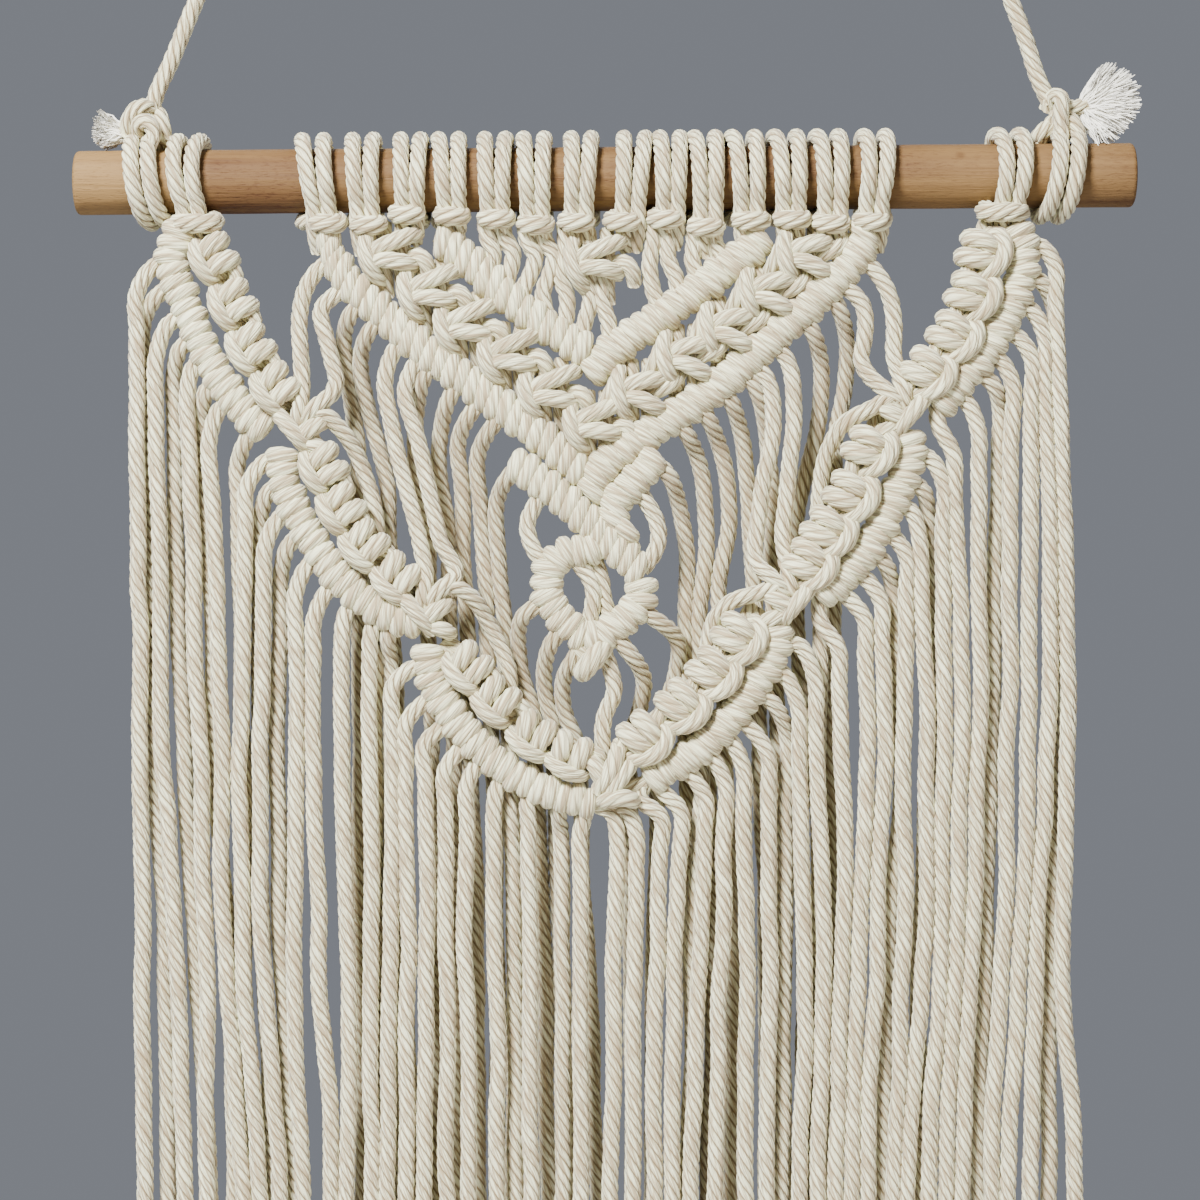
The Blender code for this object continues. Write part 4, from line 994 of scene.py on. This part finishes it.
@dataclass
class RopeWalk:
    """Lays twisted cords along their lines."""

    plies: int = 5
    points_a_ply: int = 3
    ply_depth: float = 0.19
    turn_length: float = 17.6
    step: float = 1.4
    turn_a_cord: float = 2.4
    map_shift: float = 90.0
    map_unit: float = 10.0
    seed: int = 11
    laid: int = field(default=0, init=False)

    def section(self, tightness: float) -> bpy.types.Object:
        """The outline of a cord.

        Args:
            tightness: How far its plies are pressed flat, from 0 to 1.

        Returns:
            A closed curve of radius one, with a lobe for each ply.
        """
        outline = bpy.data.curves.new("cord_section", "CURVE")
        outline.dimensions = "2D"
        spline = outline.splines.new("POLY")
        count = self.plies * self.points_a_ply
        spline.points.add(count - 1)
        spline.use_cyclic_u = True
        for k, point in enumerate(spline.points):
            turn = math.tau * k / count
            valley = 0.0 if k % self.points_a_ply else self.ply_depth * (1.0 - tightness)
            reach = 1.0 - valley
            point.co = (reach * math.cos(turn), reach * math.sin(turn), 0.0, 1.0)
        return linked("cord_section", outline)

    def drawn(self, cord: Cord, section: bpy.types.Object) -> tuple[bpy.types.Object, float]:
        """Draws one cord as a bevelled curve.

        Args:
            cord: The cord.
            section: The outline to sweep.

        Returns:
            The curve object and its length in millimetres.
        """
        fine = smoothed(cord.line, cord.steps, cord.closed)
        points = spaced([*fine, fine[0]] if cord.closed else fine, self.step * MM)
        length = sum((b - a).length for a, b in zip(points, points[1:])) / MM
        if cord.closed:
            points = points[:-1]
        curve = bpy.data.curves.new("cord", "CURVE")
        curve.dimensions = "3D"
        curve.bevel_mode = "OBJECT"
        curve.bevel_object = section
        curve.use_fill_caps = True
        curve.twist_mode = "MINIMUM"
        spline = curve.splines.new("POLY")
        spline.points.add(len(points) - 1)
        spline.use_cyclic_u = cord.closed
        lobes = self.plies * length / self.turn_length
        turns = -(max(1, round(lobes)) if cord.closed else lobes) * math.tau / self.plies
        start = self.laid * self.turn_a_cord % math.tau
        for k, (place, point) in enumerate(zip(points, spline.points)):
            where = k / (len(points) if cord.closed else len(points) - 1)
            point.co = (*place, 1.0)
            point.radius = cord.radius * cord.share(where) * MM
            point.tilt = start + turns * where
        self.laid += 1
        return linked("cord", curve), length

    def lay(self, name: str, node: Node, cords: list[Cord], finish: bpy.types.Material) -> None:
        """Lays cords, joins them to one piece and mounts it.

        The piece has a map along and round each cord, and each cord's painted shade (how much
        darker it is painted where it lies behind others) and tightness.

        Args:
            name: The piece's name.
            node: The solid that it stands for.
            cords: The cords.
            finish: Their material.
        """
        sections = {tight: self.section(tight) for tight in {cord.tightness for cord in cords}}
        drawn = [self.drawn(cord, sections[cord.tightness]) for cord in cords]
        graph = bpy.context.evaluated_depsgraph_get()
        shape = bmesh.new()
        # Each cord's painted shade is kept on its vertices for the cotton to read.
        tone = shape.verts.layers.float.new("tone")
        tightness = shape.verts.layers.float.new("tightness")
        random = Random(self.seed)
        for cord, (item, length) in zip(cords, drawn):
            mesh = bpy.data.meshes.new_from_object(item.evaluated_get(graph))
            before, first = len(shape.faces), len(shape.verts)
            shape.from_mesh(mesh)
            shape.verts.ensure_lookup_table()
            shape.faces.ensure_lookup_table()
            chart = shape.loops.layers.uv.active
            shift = random.uniform(0.0, self.map_shift)
            for face in shape.faces[before:]:
                face.smooth = True
                for loop in face.loops:
                    loop[chart].uv.x = loop[chart].uv.x * (length / self.map_unit) + shift
            for vertex in shape.verts[first:]:
                vertex[tone] = cord.tone
                vertex[tightness] = cord.tightness
            bpy.data.meshes.remove(mesh)
        for item in [*(item for item, _ in drawn), *sections.values()]:
            bpy.data.objects.remove(item)
        bmesh.ops.remove_doubles(shape, verts=shape.verts, dist=WELD)
        mounted(cast(shape, name, finish), node)


@dataclass
class Dowel:
    """The rod that carries the work."""

    length: float = 304.0
    radius: float = 9.15
    easing: float = 1.3
    easing_steps: int = 4
    sides: int = 72
    rings: int = 60
    swell: float = 0.012
    swell_scale: float = 14.0
    unevenness: float = 0.008
    unevenness_scale: float = 160.0

    def build(self, finish: bpy.types.Material) -> None:
        """Builds the rod along its tilted axis.

        Args:
            finish: The wood.
        """
        shape = bmesh.new()
        radius, length = self.radius * MM, self.length * MM
        bmesh.ops.create_cone(
            shape, cap_ends=True, segments=self.sides, radius1=radius, radius2=radius, depth=length
        )
        bmesh.ops.bevel(
            shape,
            geom=[e for e in shape.edges if any(len(f.verts) > 4 for f in e.link_faces)],
            offset=self.easing * MM,
            segments=self.easing_steps,
            profile=0.5,
            affect="EDGES",
            material=-1,
        )
        long_edges = [e for e in shape.edges if e.calc_length() > length / 2]
        bmesh.ops.subdivide_edges(shape, edges=long_edges, cuts=self.rings, use_grid_fill=False)
        # The bevel leaves its faces in an order that changes from run to run.
        shape.verts.index_update()
        shape.faces.sort(key=lambda face: sum(corner.index**3 for corner in face.verts))
        for vertex in shape.verts:
            thick = noise.noise(Vector((0.0, 0.0, vertex.co.z * self.swell_scale)))
            vertex.co.xy *= 1.0 + self.swell * thick
            rough = noise.noise(vertex.co * self.unevenness_scale)
            vertex.co.xy *= 1.0 + self.unevenness * rough
        turn = Matrix.Rotation(math.pi / 2 - DOWEL_TILT, 4, "Y")
        place = Matrix.Translation(at(0.0, 0.0)) @ turn
        bmesh.ops.transform(shape, matrix=place, verts=shape.verts)
        for face in shape.faces:
            face.smooth = True
        mounted(cast(shape, "dowel_rod", finish), Node.DOWEL)


@dataclass
class LarksHeads:
    """The heads that hold the strands on the dowel."""

    ring: float = 11.7
    turns: int = 16
    front: float = -40.0
    top: float = 90.0
    below: float = 268.0
    bar_reach: float = 0.3
    swag_bar_reach: float = 2.4
    bar_swell: float = 1.2
    gathered: float = 0.55
    spread: float = 0.45
    legs_radius: float = CORD_RADIUS * 0.98
    right_jog: float = 0.5

    def head(self, number: int) -> Cord:
        """One head: a strand up over the dowel, across the front as the bar, and back.

        Args:
            number: Its place in the table, from the left.

        Returns:
            The head's one cord.
        """
        across, bar_drop, apart, slant, bow, shift = HEADS[number]
        height = -bar_drop - across * math.sin(DOWEL_TILT)
        jog = noise.noise(Vector((number * 1.7, 4.0, 0.0)))
        left = self.side(across, height, apart / 2, slant, bow, -1)
        right = self.side(across, height + jog * self.right_jog, apart / 2, slant, bow, 1)
        reach = apart / 2 + (self.swag_bar_reach if number in SWAG_HEADS else self.bar_reach)
        bar = [
            on_dowel(across + shift + reach * share, height + rise + jog * part, back)
            for share, rise, part, back in HEAD_BAR
        ]
        line = [*left, *bar, *reversed(right)]
        swell = tuple(
            self.bar_swell if len(left) < k < len(left) + len(bar) - 1 else 1.0
            for k in range(len(line))
        )
        return Cord(line, self.legs_radius, swell, steps=3)

    def side(
        self, across: float, height: float, half: float, slant: float, bow: float, way: int
    ) -> list[Vector]:
        """One strand from below the bar up over the dowel and down behind it.

        Args:
            across: The middle of the head's two legs.
            height: The height of its bar.
            half: How far the strand is from the middle.
            slant: How far the head leans to the right on its way down.
            bow: How far it bows to the right between its ends.
            way: Minus one for the left strand, one for the right.

        Returns:
            Its line.
        """
        foot = half - self.gathered
        line = [
            on_dowel(across + way * foot * share, height + rise, back)
            for share, rise, back in HEAD_FOOT
        ]
        for k in range(self.turns + 1):
            degrees = self.front + (self.below - self.front) * k / self.turns
            turn = math.radians(degrees)
            climbed = min(1.0, (degrees - self.front) / (self.top - self.front))
            out = foot + (self.gathered + self.spread) * climbed
            bowed = bow * max(0.0, math.cos(turn)) * math.sqrt(climbed)
            place = across + way * out - slant * climbed + bowed
            line.append(on_dowel(place, self.ring * math.sin(turn), -self.ring * math.cos(turn)))
        return line

    def build(self, rope: RopeWalk, finish: bpy.types.Material) -> None:
        """Lays all the heads, those of the panel and those of the swags.

        Args:
            rope: The rope walk.
            finish: The cord's cotton.
        """
        panel = [self.head(n) for n in range(len(HEADS)) if n not in SWAG_HEADS]
        rope.lay("panel_heads", Node.PANEL, panel, finish)
        rope.lay("swag_heads", Node.SWAGS, [self.head(n) for n in SWAG_HEADS], finish)


@dataclass
class HitchBar:
    """A bar of double half hitches: rolls of cord side by side round a core."""

    route: Route
    leans: float | None = None
    half_width: float = 5.6
    half_depth: float = 3.6
    seed: int = 0
    roll: float = 3.75
    thickness: float = 2.7
    core: float = 2.6
    tightness: float = 0.8
    ring_points: int = 12
    squareness: float = 0.8
    pinch: float = 0.10
    stagger: float = 0.25
    least_slant: float = 0.85
    # Painted shade on the core, which lies behind the rolls.
    core_painted_shade: float = 0.3
    skew_play: float = 0.09
    depth_play: float = 0.15
    width_play: float = 0.25
    radius_play: tuple[float, float] = (0.94, 1.07)

    def slanted(self, along: Vector, across: Vector) -> Vector:
        """The way that a roll runs over the band, of a length that still spans it.

        Args:
            along: The band's own direction there.
            across: The direction square to it.

        Returns:
            The roll's direction.
        """
        if self.leans is None:
            return across
        lean = math.radians(self.leans)
        down = Vector((math.sin(lean), 0.0, -math.cos(lean)))
        return down / max(self.least_slant, abs(down.dot(across)))

    def ring(self, middle: Vector, slant: Vector, width: float) -> list[Vector]:
        """The loop that a roll makes round the core.

        Args:
            middle: Its middle.
            slant: The way that it runs over the band.
            width: How far it reaches to each side, in metres.

        Returns:
            Its closed line.
        """
        depth = (self.half_depth - self.thickness * 0.5) * MM
        found = []
        for k in range(self.ring_points):
            turn = math.tau * k / self.ring_points
            flat = math.copysign(abs(math.cos(turn)) ** self.squareness, math.cos(turn))
            found.append(
                middle - slant * flat * width + Vector((0.0, -depth * math.sin(turn), 0.0))
            )
        return found

    def cords(self) -> list[Cord]:
        """The rolls, each a little uneven, and the core that they hide.

        Returns:
            A cord for the core, and one closed cord a roll.
        """
        line = smoothed([at(*place, PANEL_BACK) for place in self.route], 6)
        points = spaced(line, self.roll * MM)
        swell = tuple(
            1.0 - self.pinch * abs(math.cos(math.tau * k / self.ring_points))
            for k in range(self.ring_points + 1)
        )
        random = Random(self.seed)
        # The core is painted darker, as shade behind the rolls.
        found = [Cord(points, self.core, tone=self.core_painted_shade)]
        for k, (a, b) in enumerate(zip(points, points[1:])):
            along = (b - a).normalized()
            across = Vector((-along.z, 0.0, along.x))
            skew = random.uniform(-self.skew_play, self.skew_play)
            back = random.uniform(-self.depth_play, self.depth_play)
            wider = random.uniform(-self.width_play, self.width_play)
            radius = self.thickness * random.uniform(*self.radius_play)
            middle = (a + b) / 2 + Vector((0.0, back, 0.0)) * MM
            middle += across * (self.stagger if k % 2 else -self.stagger) * MM
            width = (self.half_width - self.thickness + wider) * MM
            ring = self.ring(middle, self.slanted(along, across) + along * skew, width)
            roll = Cord(ring, radius, swell, closed=True, steps=2, tightness=self.tightness)
            found.append(roll)
        return found


@dataclass
class Knot:
    """A knot of a given form, set in its place."""

    across: float
    drop: float
    form: KnotForm = ()
    lean: float = 0.0
    mirrored: bool = False
    swell: tuple[float, ...] = (0.92, 1.0, 1.06, 1.0, 0.92)
    tightness: float = 0.45

    def placed(self, points: Path) -> list[Vector]:
        """Points of the knot, turned and set in their place.

        Args:
            points: Points right of, above and behind its middle.

        Returns:
            The points in metres.
        """
        side = -1 if self.mirrored else 1
        turn = Matrix.Rotation(self.lean, 2)
        found = []
        for right, up, back in points:
            turned = turn @ Vector((right * side, up))
            found.append(at(self.across + turned.x, self.drop - turned.y, PANEL_BACK + back))
        return found

    def cords(self) -> list[Cord]:
        """The strands that show, a little thicker in the middle than at their ends.

        Returns:
            One cord a strand.
        """
        # Each strand keeps the painted shade given in its form.
        return [
            Cord(self.placed(points), radius, self.swell, tone=tone, tightness=self.tightness)
            for radius, tone, points in self.form
        ]


@dataclass
class Fringe:
    """Strands that hang from the bars down to the level trim."""

    waves: Waves = Waves(0.62, 0.35)
    trim: float = 1.2
    fall: float = 10.0
    steps: int = 12
    # Painted shade on the strands of the middle layer, of the joins and of the panel behind.
    middle_painted_shade: float = 0.10
    join_painted_shade: float = 0.04
    rear_painted_shade: float = 0.30
    join_depths: tuple[float, ...] = (-9.2, -7.5, -2.2, Layer.MIDDLE.value)
    panel_depths: tuple[float, ...] = (PANEL_BACK, 0.5, 4.6, Layer.REAR.value)
    seed: int = 5

    def strand(self, start: list[Vector], lanes: tuple[float, ...], tone: float) -> Cord:
        """One strand.

        Args:
            start: Its line from the root to where it turns down.
            lanes: Where it passes the levels, of which the last are used if there are fewer.
            tone: How much darker than the front it is painted, as shade where it hangs further
                back.

        Returns:
            The strand down to the trim.
        """
        self.seed += 1
        across, back = start[-1].x / MM, start[-1].y / MM
        shoulder = -start[-1].z / MM - NAIL_ABOVE_DOWEL
        cut = FRINGE_END - self.trim * abs(noise.noise(Vector((self.seed * 3.7, 1.0, 0.0))))
        levels = LEVELS[-len(lanes) :]
        passed = [(x, drop) for x, drop in zip(lanes, levels) if drop > shoulder + 2 * self.fall]
        passed.append((lanes[-1], cut))
        # It hangs plumb from its shoulder: without this point the curve would swing out.
        lane, level = passed[0]
        leaning = (lane - across) * self.fall / (level - shoulder)
        passed.insert(0, (across + leaning, shoulder + self.fall))
        line = smoothed([*start, *[at(x, drop, back) for x, drop in passed]], self.steps)
        return Cord(self.waves.along(line, self.seed * 7.31), tone=tone, steps=2)

    def of_swags(self, side: int) -> list[Cord]:
        """The strands of the left swag or of the right one.

        Args:
            side: Minus one for the left swag, one for the right.

        Returns:
            The strands, left to right.
        """
        found = []
        half = len(SWAG_FRINGE) // 2
        for number in range(half) if side < 0 else range(half, len(SWAG_FRINGE)):
            root, shoulder, lanes = SWAG_FRINGE[number]
            layer, tone = Layer.FRONT, 0.0
            # A strand of the middle layer is painted darker, as shade.
            if number in MIDDLE_STRANDS:
                layer, tone = Layer.MIDDLE, self.middle_painted_shade
            edge = at(*nearest(SWAG_BARS, root), BEHIND_BARS)
            start = [edge, at(*root, STRAND_BACK), at(*shoulder, layer.value)]
            found.append(self.strand(start, lanes, tone))
        return found

    def of_joins(self) -> list[Cord]:
        """The strands that leave the joins and hang in the middle layer.

        Returns:
            The strands.
        """
        found = []
        joins = [join for number, join in enumerate(JOINS) if number != CENTRE]
        for (route, lanes), (across, drop, mirrored) in zip(JOIN_FRINGE, joins):
            root = Knot(across, drop, mirrored=mirrored).placed(SIDE_LEAVING)
            start = [at(*place, back) for place, back in zip(route, self.join_depths)]
            # Strands from the joins get a little painted shade.
            found.append(self.strand([*root, *start], lanes, self.join_painted_shade))
        return found

    def of_panel(self) -> list[Cord]:
        """The strands of the panel, which hang behind the swags.

        Returns:
            The strands, left to right.
        """
        found = []
        for route, lanes in PANEL_FRINGE:
            edge = at(*nearest(PANEL_BARS, route[0]), BEHIND_BARS)
            start = [at(*place, back) for place, back in zip(route, self.panel_depths)]
            # The panel's strands hang at the back and are painted darker, as shade.
            found.append(self.strand([edge, *start], lanes, self.rear_painted_shade))
        return found

    def build(self, rope: RopeWalk, finish: bpy.types.Material) -> None:
        """Lays the fringe of both swags, of the joins and of the panel.

        Args:
            rope: The rope walk.
            finish: The cord's cotton.
        """
        rope.lay("fringe_left", Node.SWAGS, self.of_swags(-1), finish)
        rope.lay("fringe_right", Node.SWAGS, self.of_swags(1), finish)
        rope.lay("fringe_of_joins", Node.SWAGS, self.of_joins(), finish)
        rope.lay("fringe_behind", Node.PANEL, self.of_panel(), finish)


@dataclass
class Panel:
    """The middle of the work: V bars, upright knots, the diamond and single strands."""

    diamond_width: float = 5.3
    diamond_depth: float = 3.5
    diamond_seed: int = 9
    top_knot: int = 11
    # Back and painted shade of the strands that cross the diamond or lie beside it.
    front_crossing: tuple[float, float] = (-5.6, 0.0)
    rear_crossing: tuple[float, float] = (-3.8, 0.12)
    # The ties are painted a little darker, through the painted shade attribute.
    tie_darkening: float = 0.03
    tie_waves: Waves = Waves(0.5, 0.2)

    def bars(self) -> list[Cord]:
        """The hitched bars of the V and of the diamond.

        Returns:
            Their rolls and cores.
        """
        found = []
        for number, (name, route) in enumerate(V_BARS.items()):
            found += HitchBar(route, BAR_LEANS[name], seed=number).cords()
        sizes = self.diamond_width, self.diamond_depth
        return [*found, *HitchBar(DIAMOND, None, *sizes, self.diamond_seed).cords()]

    def knots(self) -> list[Cord]:
        """The square knots between the bars, and the one at the diamond's tip.

        Returns:
            Their strands.
        """
        found = []
        for number, (across, drop) in enumerate(PANEL_KNOTS):
            on_left = across < 0.0 or number == self.top_knot
            found += Knot(across, drop, LEFT_ARM_KNOT if on_left else RIGHT_ARM_KNOT).cords()
        return [*found, *Knot(*DIAMOND_TIP, TIP_ROLL).cords()]

    def strands(self) -> list[Cord]:
        """Single strands: above the V, within the diamond, beside it, and to the joins.

        Returns:
            The strands.
        """
        found = [Cord([at(*place, STRAND_BACK) for place in route]) for route in SHORT_STRANDS]
        for number, route in enumerate((*DIAMOND_CROSSING, *SIDE_STRANDS)):
            # The diamond's second strand passes behind its first, and is painted darker as its
            # shade.
            back, tone = self.rear_crossing if number == 1 else self.front_crossing
            found.append(Cord([at(*place, back) for place in route], tone=tone))
        for route, (join, tie) in zip(PANEL_TIES, TIE_ENDS):
            places = (nearest(PANEL_BARS, route[0]), *route)
            across, drop, mirrored = JOINS[join]
            ties = CENTRE_TIES if join == CENTRE else SIDE_TIES
            end = Knot(across, drop, mirrored=mirrored).placed(ties[tie])
            line = smoothed([at(*place, PANEL_BACK) for place in places], 8)
            waved = self.tie_waves.along(line, route[0][0])
            found.append(Cord([*waved, *end], tone=self.tie_darkening, steps=3))
        return found

    def build(self, rope: RopeWalk, finish: bpy.types.Material) -> None:
        """Lays the panel's bars, knots and strands.

        Args:
            rope: The rope walk.
            finish: The cord's cotton.
        """
        rope.lay("panel_bars", Node.PANEL, self.bars(), finish)
        rope.lay("panel_knots", Node.PANEL, self.knots(), finish)
        rope.lay("panel_strands", Node.PANEL, self.strands(), finish)


@dataclass
class SwagWork:
    """The two swags: their bars, the leaning knots beside them and the joins."""

    half_width: float = 5.4
    half_depth: float = 3.7
    extra_lean: tuple[float, float] = (5.0, -6.0)
    turned: tuple[float, float] = (1.0, 0.8)
    first_seed: int = 20

    def bars(self) -> list[Cord]:
        """The hitched bars.

        Returns:
            Their rolls and cores.
        """
        found = []
        for seed, route in enumerate(SWAG_BARS, self.first_seed):
            found += HitchBar(route, None, self.half_width, self.half_depth, seed).cords()
        return found

    def knots(self) -> list[Cord]:
        """The knots of each swag, leaning as its bar does, and the joins.

        Returns:
            Their strands.
        """
        found = []
        for swag in SWAGS:
            on_right = swag.side > 0
            form = RIGHT_SWAG_KNOT if on_right else LEFT_SWAG_KNOT
            last = len(swag.knots) - 1
            for k, (across, drop) in enumerate(swag.knots):
                run = Vector(swag.knots[min(k + 1, last)]) - Vector(swag.knots[max(k - 1, 0)])
                lean = math.atan2(run.x, run.y) + math.radians(self.extra_lean[on_right])
                found += Knot(across, drop, form, lean * self.turned[on_right], on_right).cords()
        for number, (across, drop, mirrored) in enumerate(JOINS):
            form = CENTRE_JOIN if number == CENTRE else SIDE_JOIN
            found += Knot(across, drop, form, mirrored=mirrored).cords()
        return found

    def build(self, rope: RopeWalk, finish: bpy.types.Material) -> None:
        """Lays the swags' bars and knots."""
        rope.lay("swag_bars", Node.SWAGS, self.bars(), finish)
        rope.lay("swag_knots", Node.SWAGS, self.knots(), finish)


@dataclass
class Hanger:
    """The cord that the work hangs by: its legs, knots, wraps and frayed ends."""

    wrap_radius: float = 11.7
    wrap_turns: int = 2
    wrap_steps: int = 16
    knot_radius: float = 2.35
    hairs_a_tip: int = 170
    hair_radius: float = 0.26
    hair_swell: tuple[float, ...] = (1.1, 1.1, 0.6)
    hair_bends: tuple[float, float] = (0.36, 0.72)
    hair_reach: tuple[float, float] = (0.55, 1.04)
    hair_play: tuple[float, float] = (0.7, 1.3)
    tuft_backs: tuple[float, float] = (-5.0, 4.0)
    root_play: tuple[float, float] = (1.2, 1.3)
    curl: float = 0.7
    seed: int = 3

    def legs(self) -> list[Cord]:
        """The cord from one knot up over the nail and down to the other knot.

        Returns:
            The one cord.
        """
        left = [at(*place) for place in LEGS[-1][::-1]]
        bend = [at(-across, drop) for across, drop in NAIL_BEND[:0:-1]]
        bend += [at(across, drop) for across, drop in NAIL_BEND]
        return [Cord([*left, *bend, *[at(*place) for place in LEGS[1]]], steps=24)]

    def wraps(self) -> list[Cord]:
        """The two turns of each end round the dowel.

        Returns:
            One cord an end.
        """
        found = []
        for side, (start, shift) in WRAPS.items():
            knot = HANGER_KNOTS[side]
            line = [at(*knot, 0.0)]
            for k in range(self.wrap_turns * self.wrap_steps + 1):
                whole, part = divmod(k / self.wrap_steps, 1.0)
                turn = math.pi / 2 - math.tau * part
                rise, back = math.sin(turn), -math.cos(turn)
                # Each turn moves on along the dowel while it is in front.
                place = start + shift * (whole + min(1.0, 2 * part) ** 2)
                line.append(on_dowel(place, self.wrap_radius * rise, self.wrap_radius * back))
            found.append(Cord([*line, at(*knot, 1.0)], steps=3))
        return found

    def knots(self) -> list[Cord]:
        """The knot over each end of the dowel."""
        return [Cord([at(*place) for place in route], self.knot_radius) for route in HANGER_TURNS]

    def tufts(self) -> list[Cord]:
        """The frayed ends, as loose yarns that spread from the knot.

        Returns:
            One thin cord a yarn.
        """
        random = Random(self.seed)
        found = []
        for root, tips in FRAYS:
            for _ in range(self.hairs_a_tip * len(tips)):
                low, part = divmod(random.uniform(0.0, len(tips) - 1.001), 1.0)
                tip = Vector(tips[int(low)]).lerp(Vector(tips[int(low) + 1]), part)
                end = Vector(root).lerp(tip, random.uniform(*self.hair_reach))
                back, rise = (random.uniform(-play, play) for play in self.root_play)
                start = at(*root, back) + Vector((0.0, 0.0, rise)) * MM
                stop = at(*end, random.uniform(*self.tuft_backs))
                bends = []
                for share in self.hair_bends:
                    curl = Vector([random.uniform(-self.curl, self.curl) for _ in range(3)])
                    bends.append(start.lerp(stop, share) + curl * MM)
                thick = self.hair_radius * random.uniform(*self.hair_play)
                found.append(Cord([start, *bends, stop], thick, self.hair_swell, tightness=1.0))
        return found

    def build(
        self, rope: RopeWalk, finish: bpy.types.Material, frayed: bpy.types.Material
    ) -> None:
        """Lays the legs, the wraps, the knots and the frayed ends.

        Args:
            rope: The rope walk.
            finish: The cord's cotton.
            frayed: The loose yarns' cotton.
        """
        hair = RopeWalk(plies=1, points_a_ply=3, ply_depth=0.0, turn_length=1000.0, step=2.6)
        rope.lay("hanger_legs", Node.HANGER, self.legs(), finish)
        rope.lay("hanger_wraps", Node.HANGER, self.wraps(), finish)
        rope.lay("hanger_knots", Node.HANGER, self.knots(), finish)
        hair.lay("hanger_tufts", Node.HANGER, self.tufts(), frayed)


@dataclass
class Studio:
    """A plain floor, soft light and the camera. Its lengths are in metres."""

    view: float = 0.343
    distance: float = 0.9
    sensor: float = 36.0
    farthest: float = 20.0
    aim: tuple[float, float, float] = (-0.0014, -0.006, -0.4541)
    floor_radius: float = 0.42
    floor_height: float = -0.76
    floor_sides: int = 96
    floor_colour: Colour = (0.72, 0.71, 0.70, 1.0)
    sky_colour: Colour = (0.50, 0.53, 0.60, 1.0)
    sky_strength: float = 0.40

    def camera(self) -> None:
        """Sets the camera square to the front."""
        lens = bpy.data.cameras.new("camera")
        lens.sensor_width = self.sensor
        lens.lens = self.sensor * self.distance / self.view
        lens.clip_end = self.farthest
        made = linked("camera", lens)
        made.location = (self.aim[0], self.aim[1] - self.distance, self.aim[2])
        made.rotation_euler = (math.pi / 2, 0.0, 0.0)
        bpy.context.scene.camera = made

    def lamp(
        self, name: str, place: Place, back: float, size: float, power: float, warmth: float
    ) -> None:
        """Adds a large soft light that faces the work.

        Args:
            name: Its name.
            place: Across and up from the work's middle.
            back: Its distance behind the work, or in front if negative.
            size: Its width.
            power: Its power in watts.
            warmth: How much of its blue and half as much of its green it lacks, from 0 to 1.
        """
        light = bpy.data.lights.new(name, "AREA")
        light.size = size
        light.energy = power
        light.color = (1.0, 1.0 - warmth * 0.5, 1.0 - warmth)
        made = linked(name, light)
        made.location = (place[0], back, self.aim[2] + place[1])
        made.rotation_euler = (Vector(self.aim) - made.location).to_track_quat("-Z", "Y").to_euler()

    def floor(self) -> None:
        """Adds the floor below the work."""
        shape = bmesh.new()
        bmesh.ops.create_circle(
            shape, cap_ends=True, segments=self.floor_sides, radius=self.floor_radius
        )
        lift = Vector((0.0, 0.0, self.floor_height))
        bmesh.ops.translate(shape, verts=shape.verts, vec=lift)
        paint = Bench("floor_paint").finished({"Base Color": self.floor_colour, "Roughness": 0.9})
        made = cast(shape, "floor", paint)

    def build(self) -> None:
        """Sets up the camera, the lights, the surroundings and the floor."""
        self.camera()
        for lamp in LAMPS:
            self.lamp(*lamp)
        world = bpy.data.worlds.new("surroundings")
        world.use_nodes = True
        sky = world.node_tree.nodes["Background"]
        sky.inputs["Color"].default_value = self.sky_colour
        sky.inputs["Strength"].default_value = self.sky_strength
        bpy.context.scene.world = world
        self.floor()


def main() -> None:
    """Dresses the frame and logs how many triangles each dressed piece has."""
    logging.basicConfig(level=logging.INFO, format="%(name)s: %(message)s")
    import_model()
    Studio().build()
    cotton = CottonFinish("cotton_cord").made()
    hanging = CottonFinish("hanging_cotton").made()
    frayed = CottonFinish("frayed_cotton", COMBED, COMBED, COMBED, relief=0.00004).made()
    rope = RopeWalk()
    Dowel().build(WoodFinish().made())
    for work in (LarksHeads(), Panel(), SwagWork(), Fringe()):
        work.build(rope, cotton)
    Hanger().build(rope, hanging, frayed)


if __name__ == "__main__":
    main()
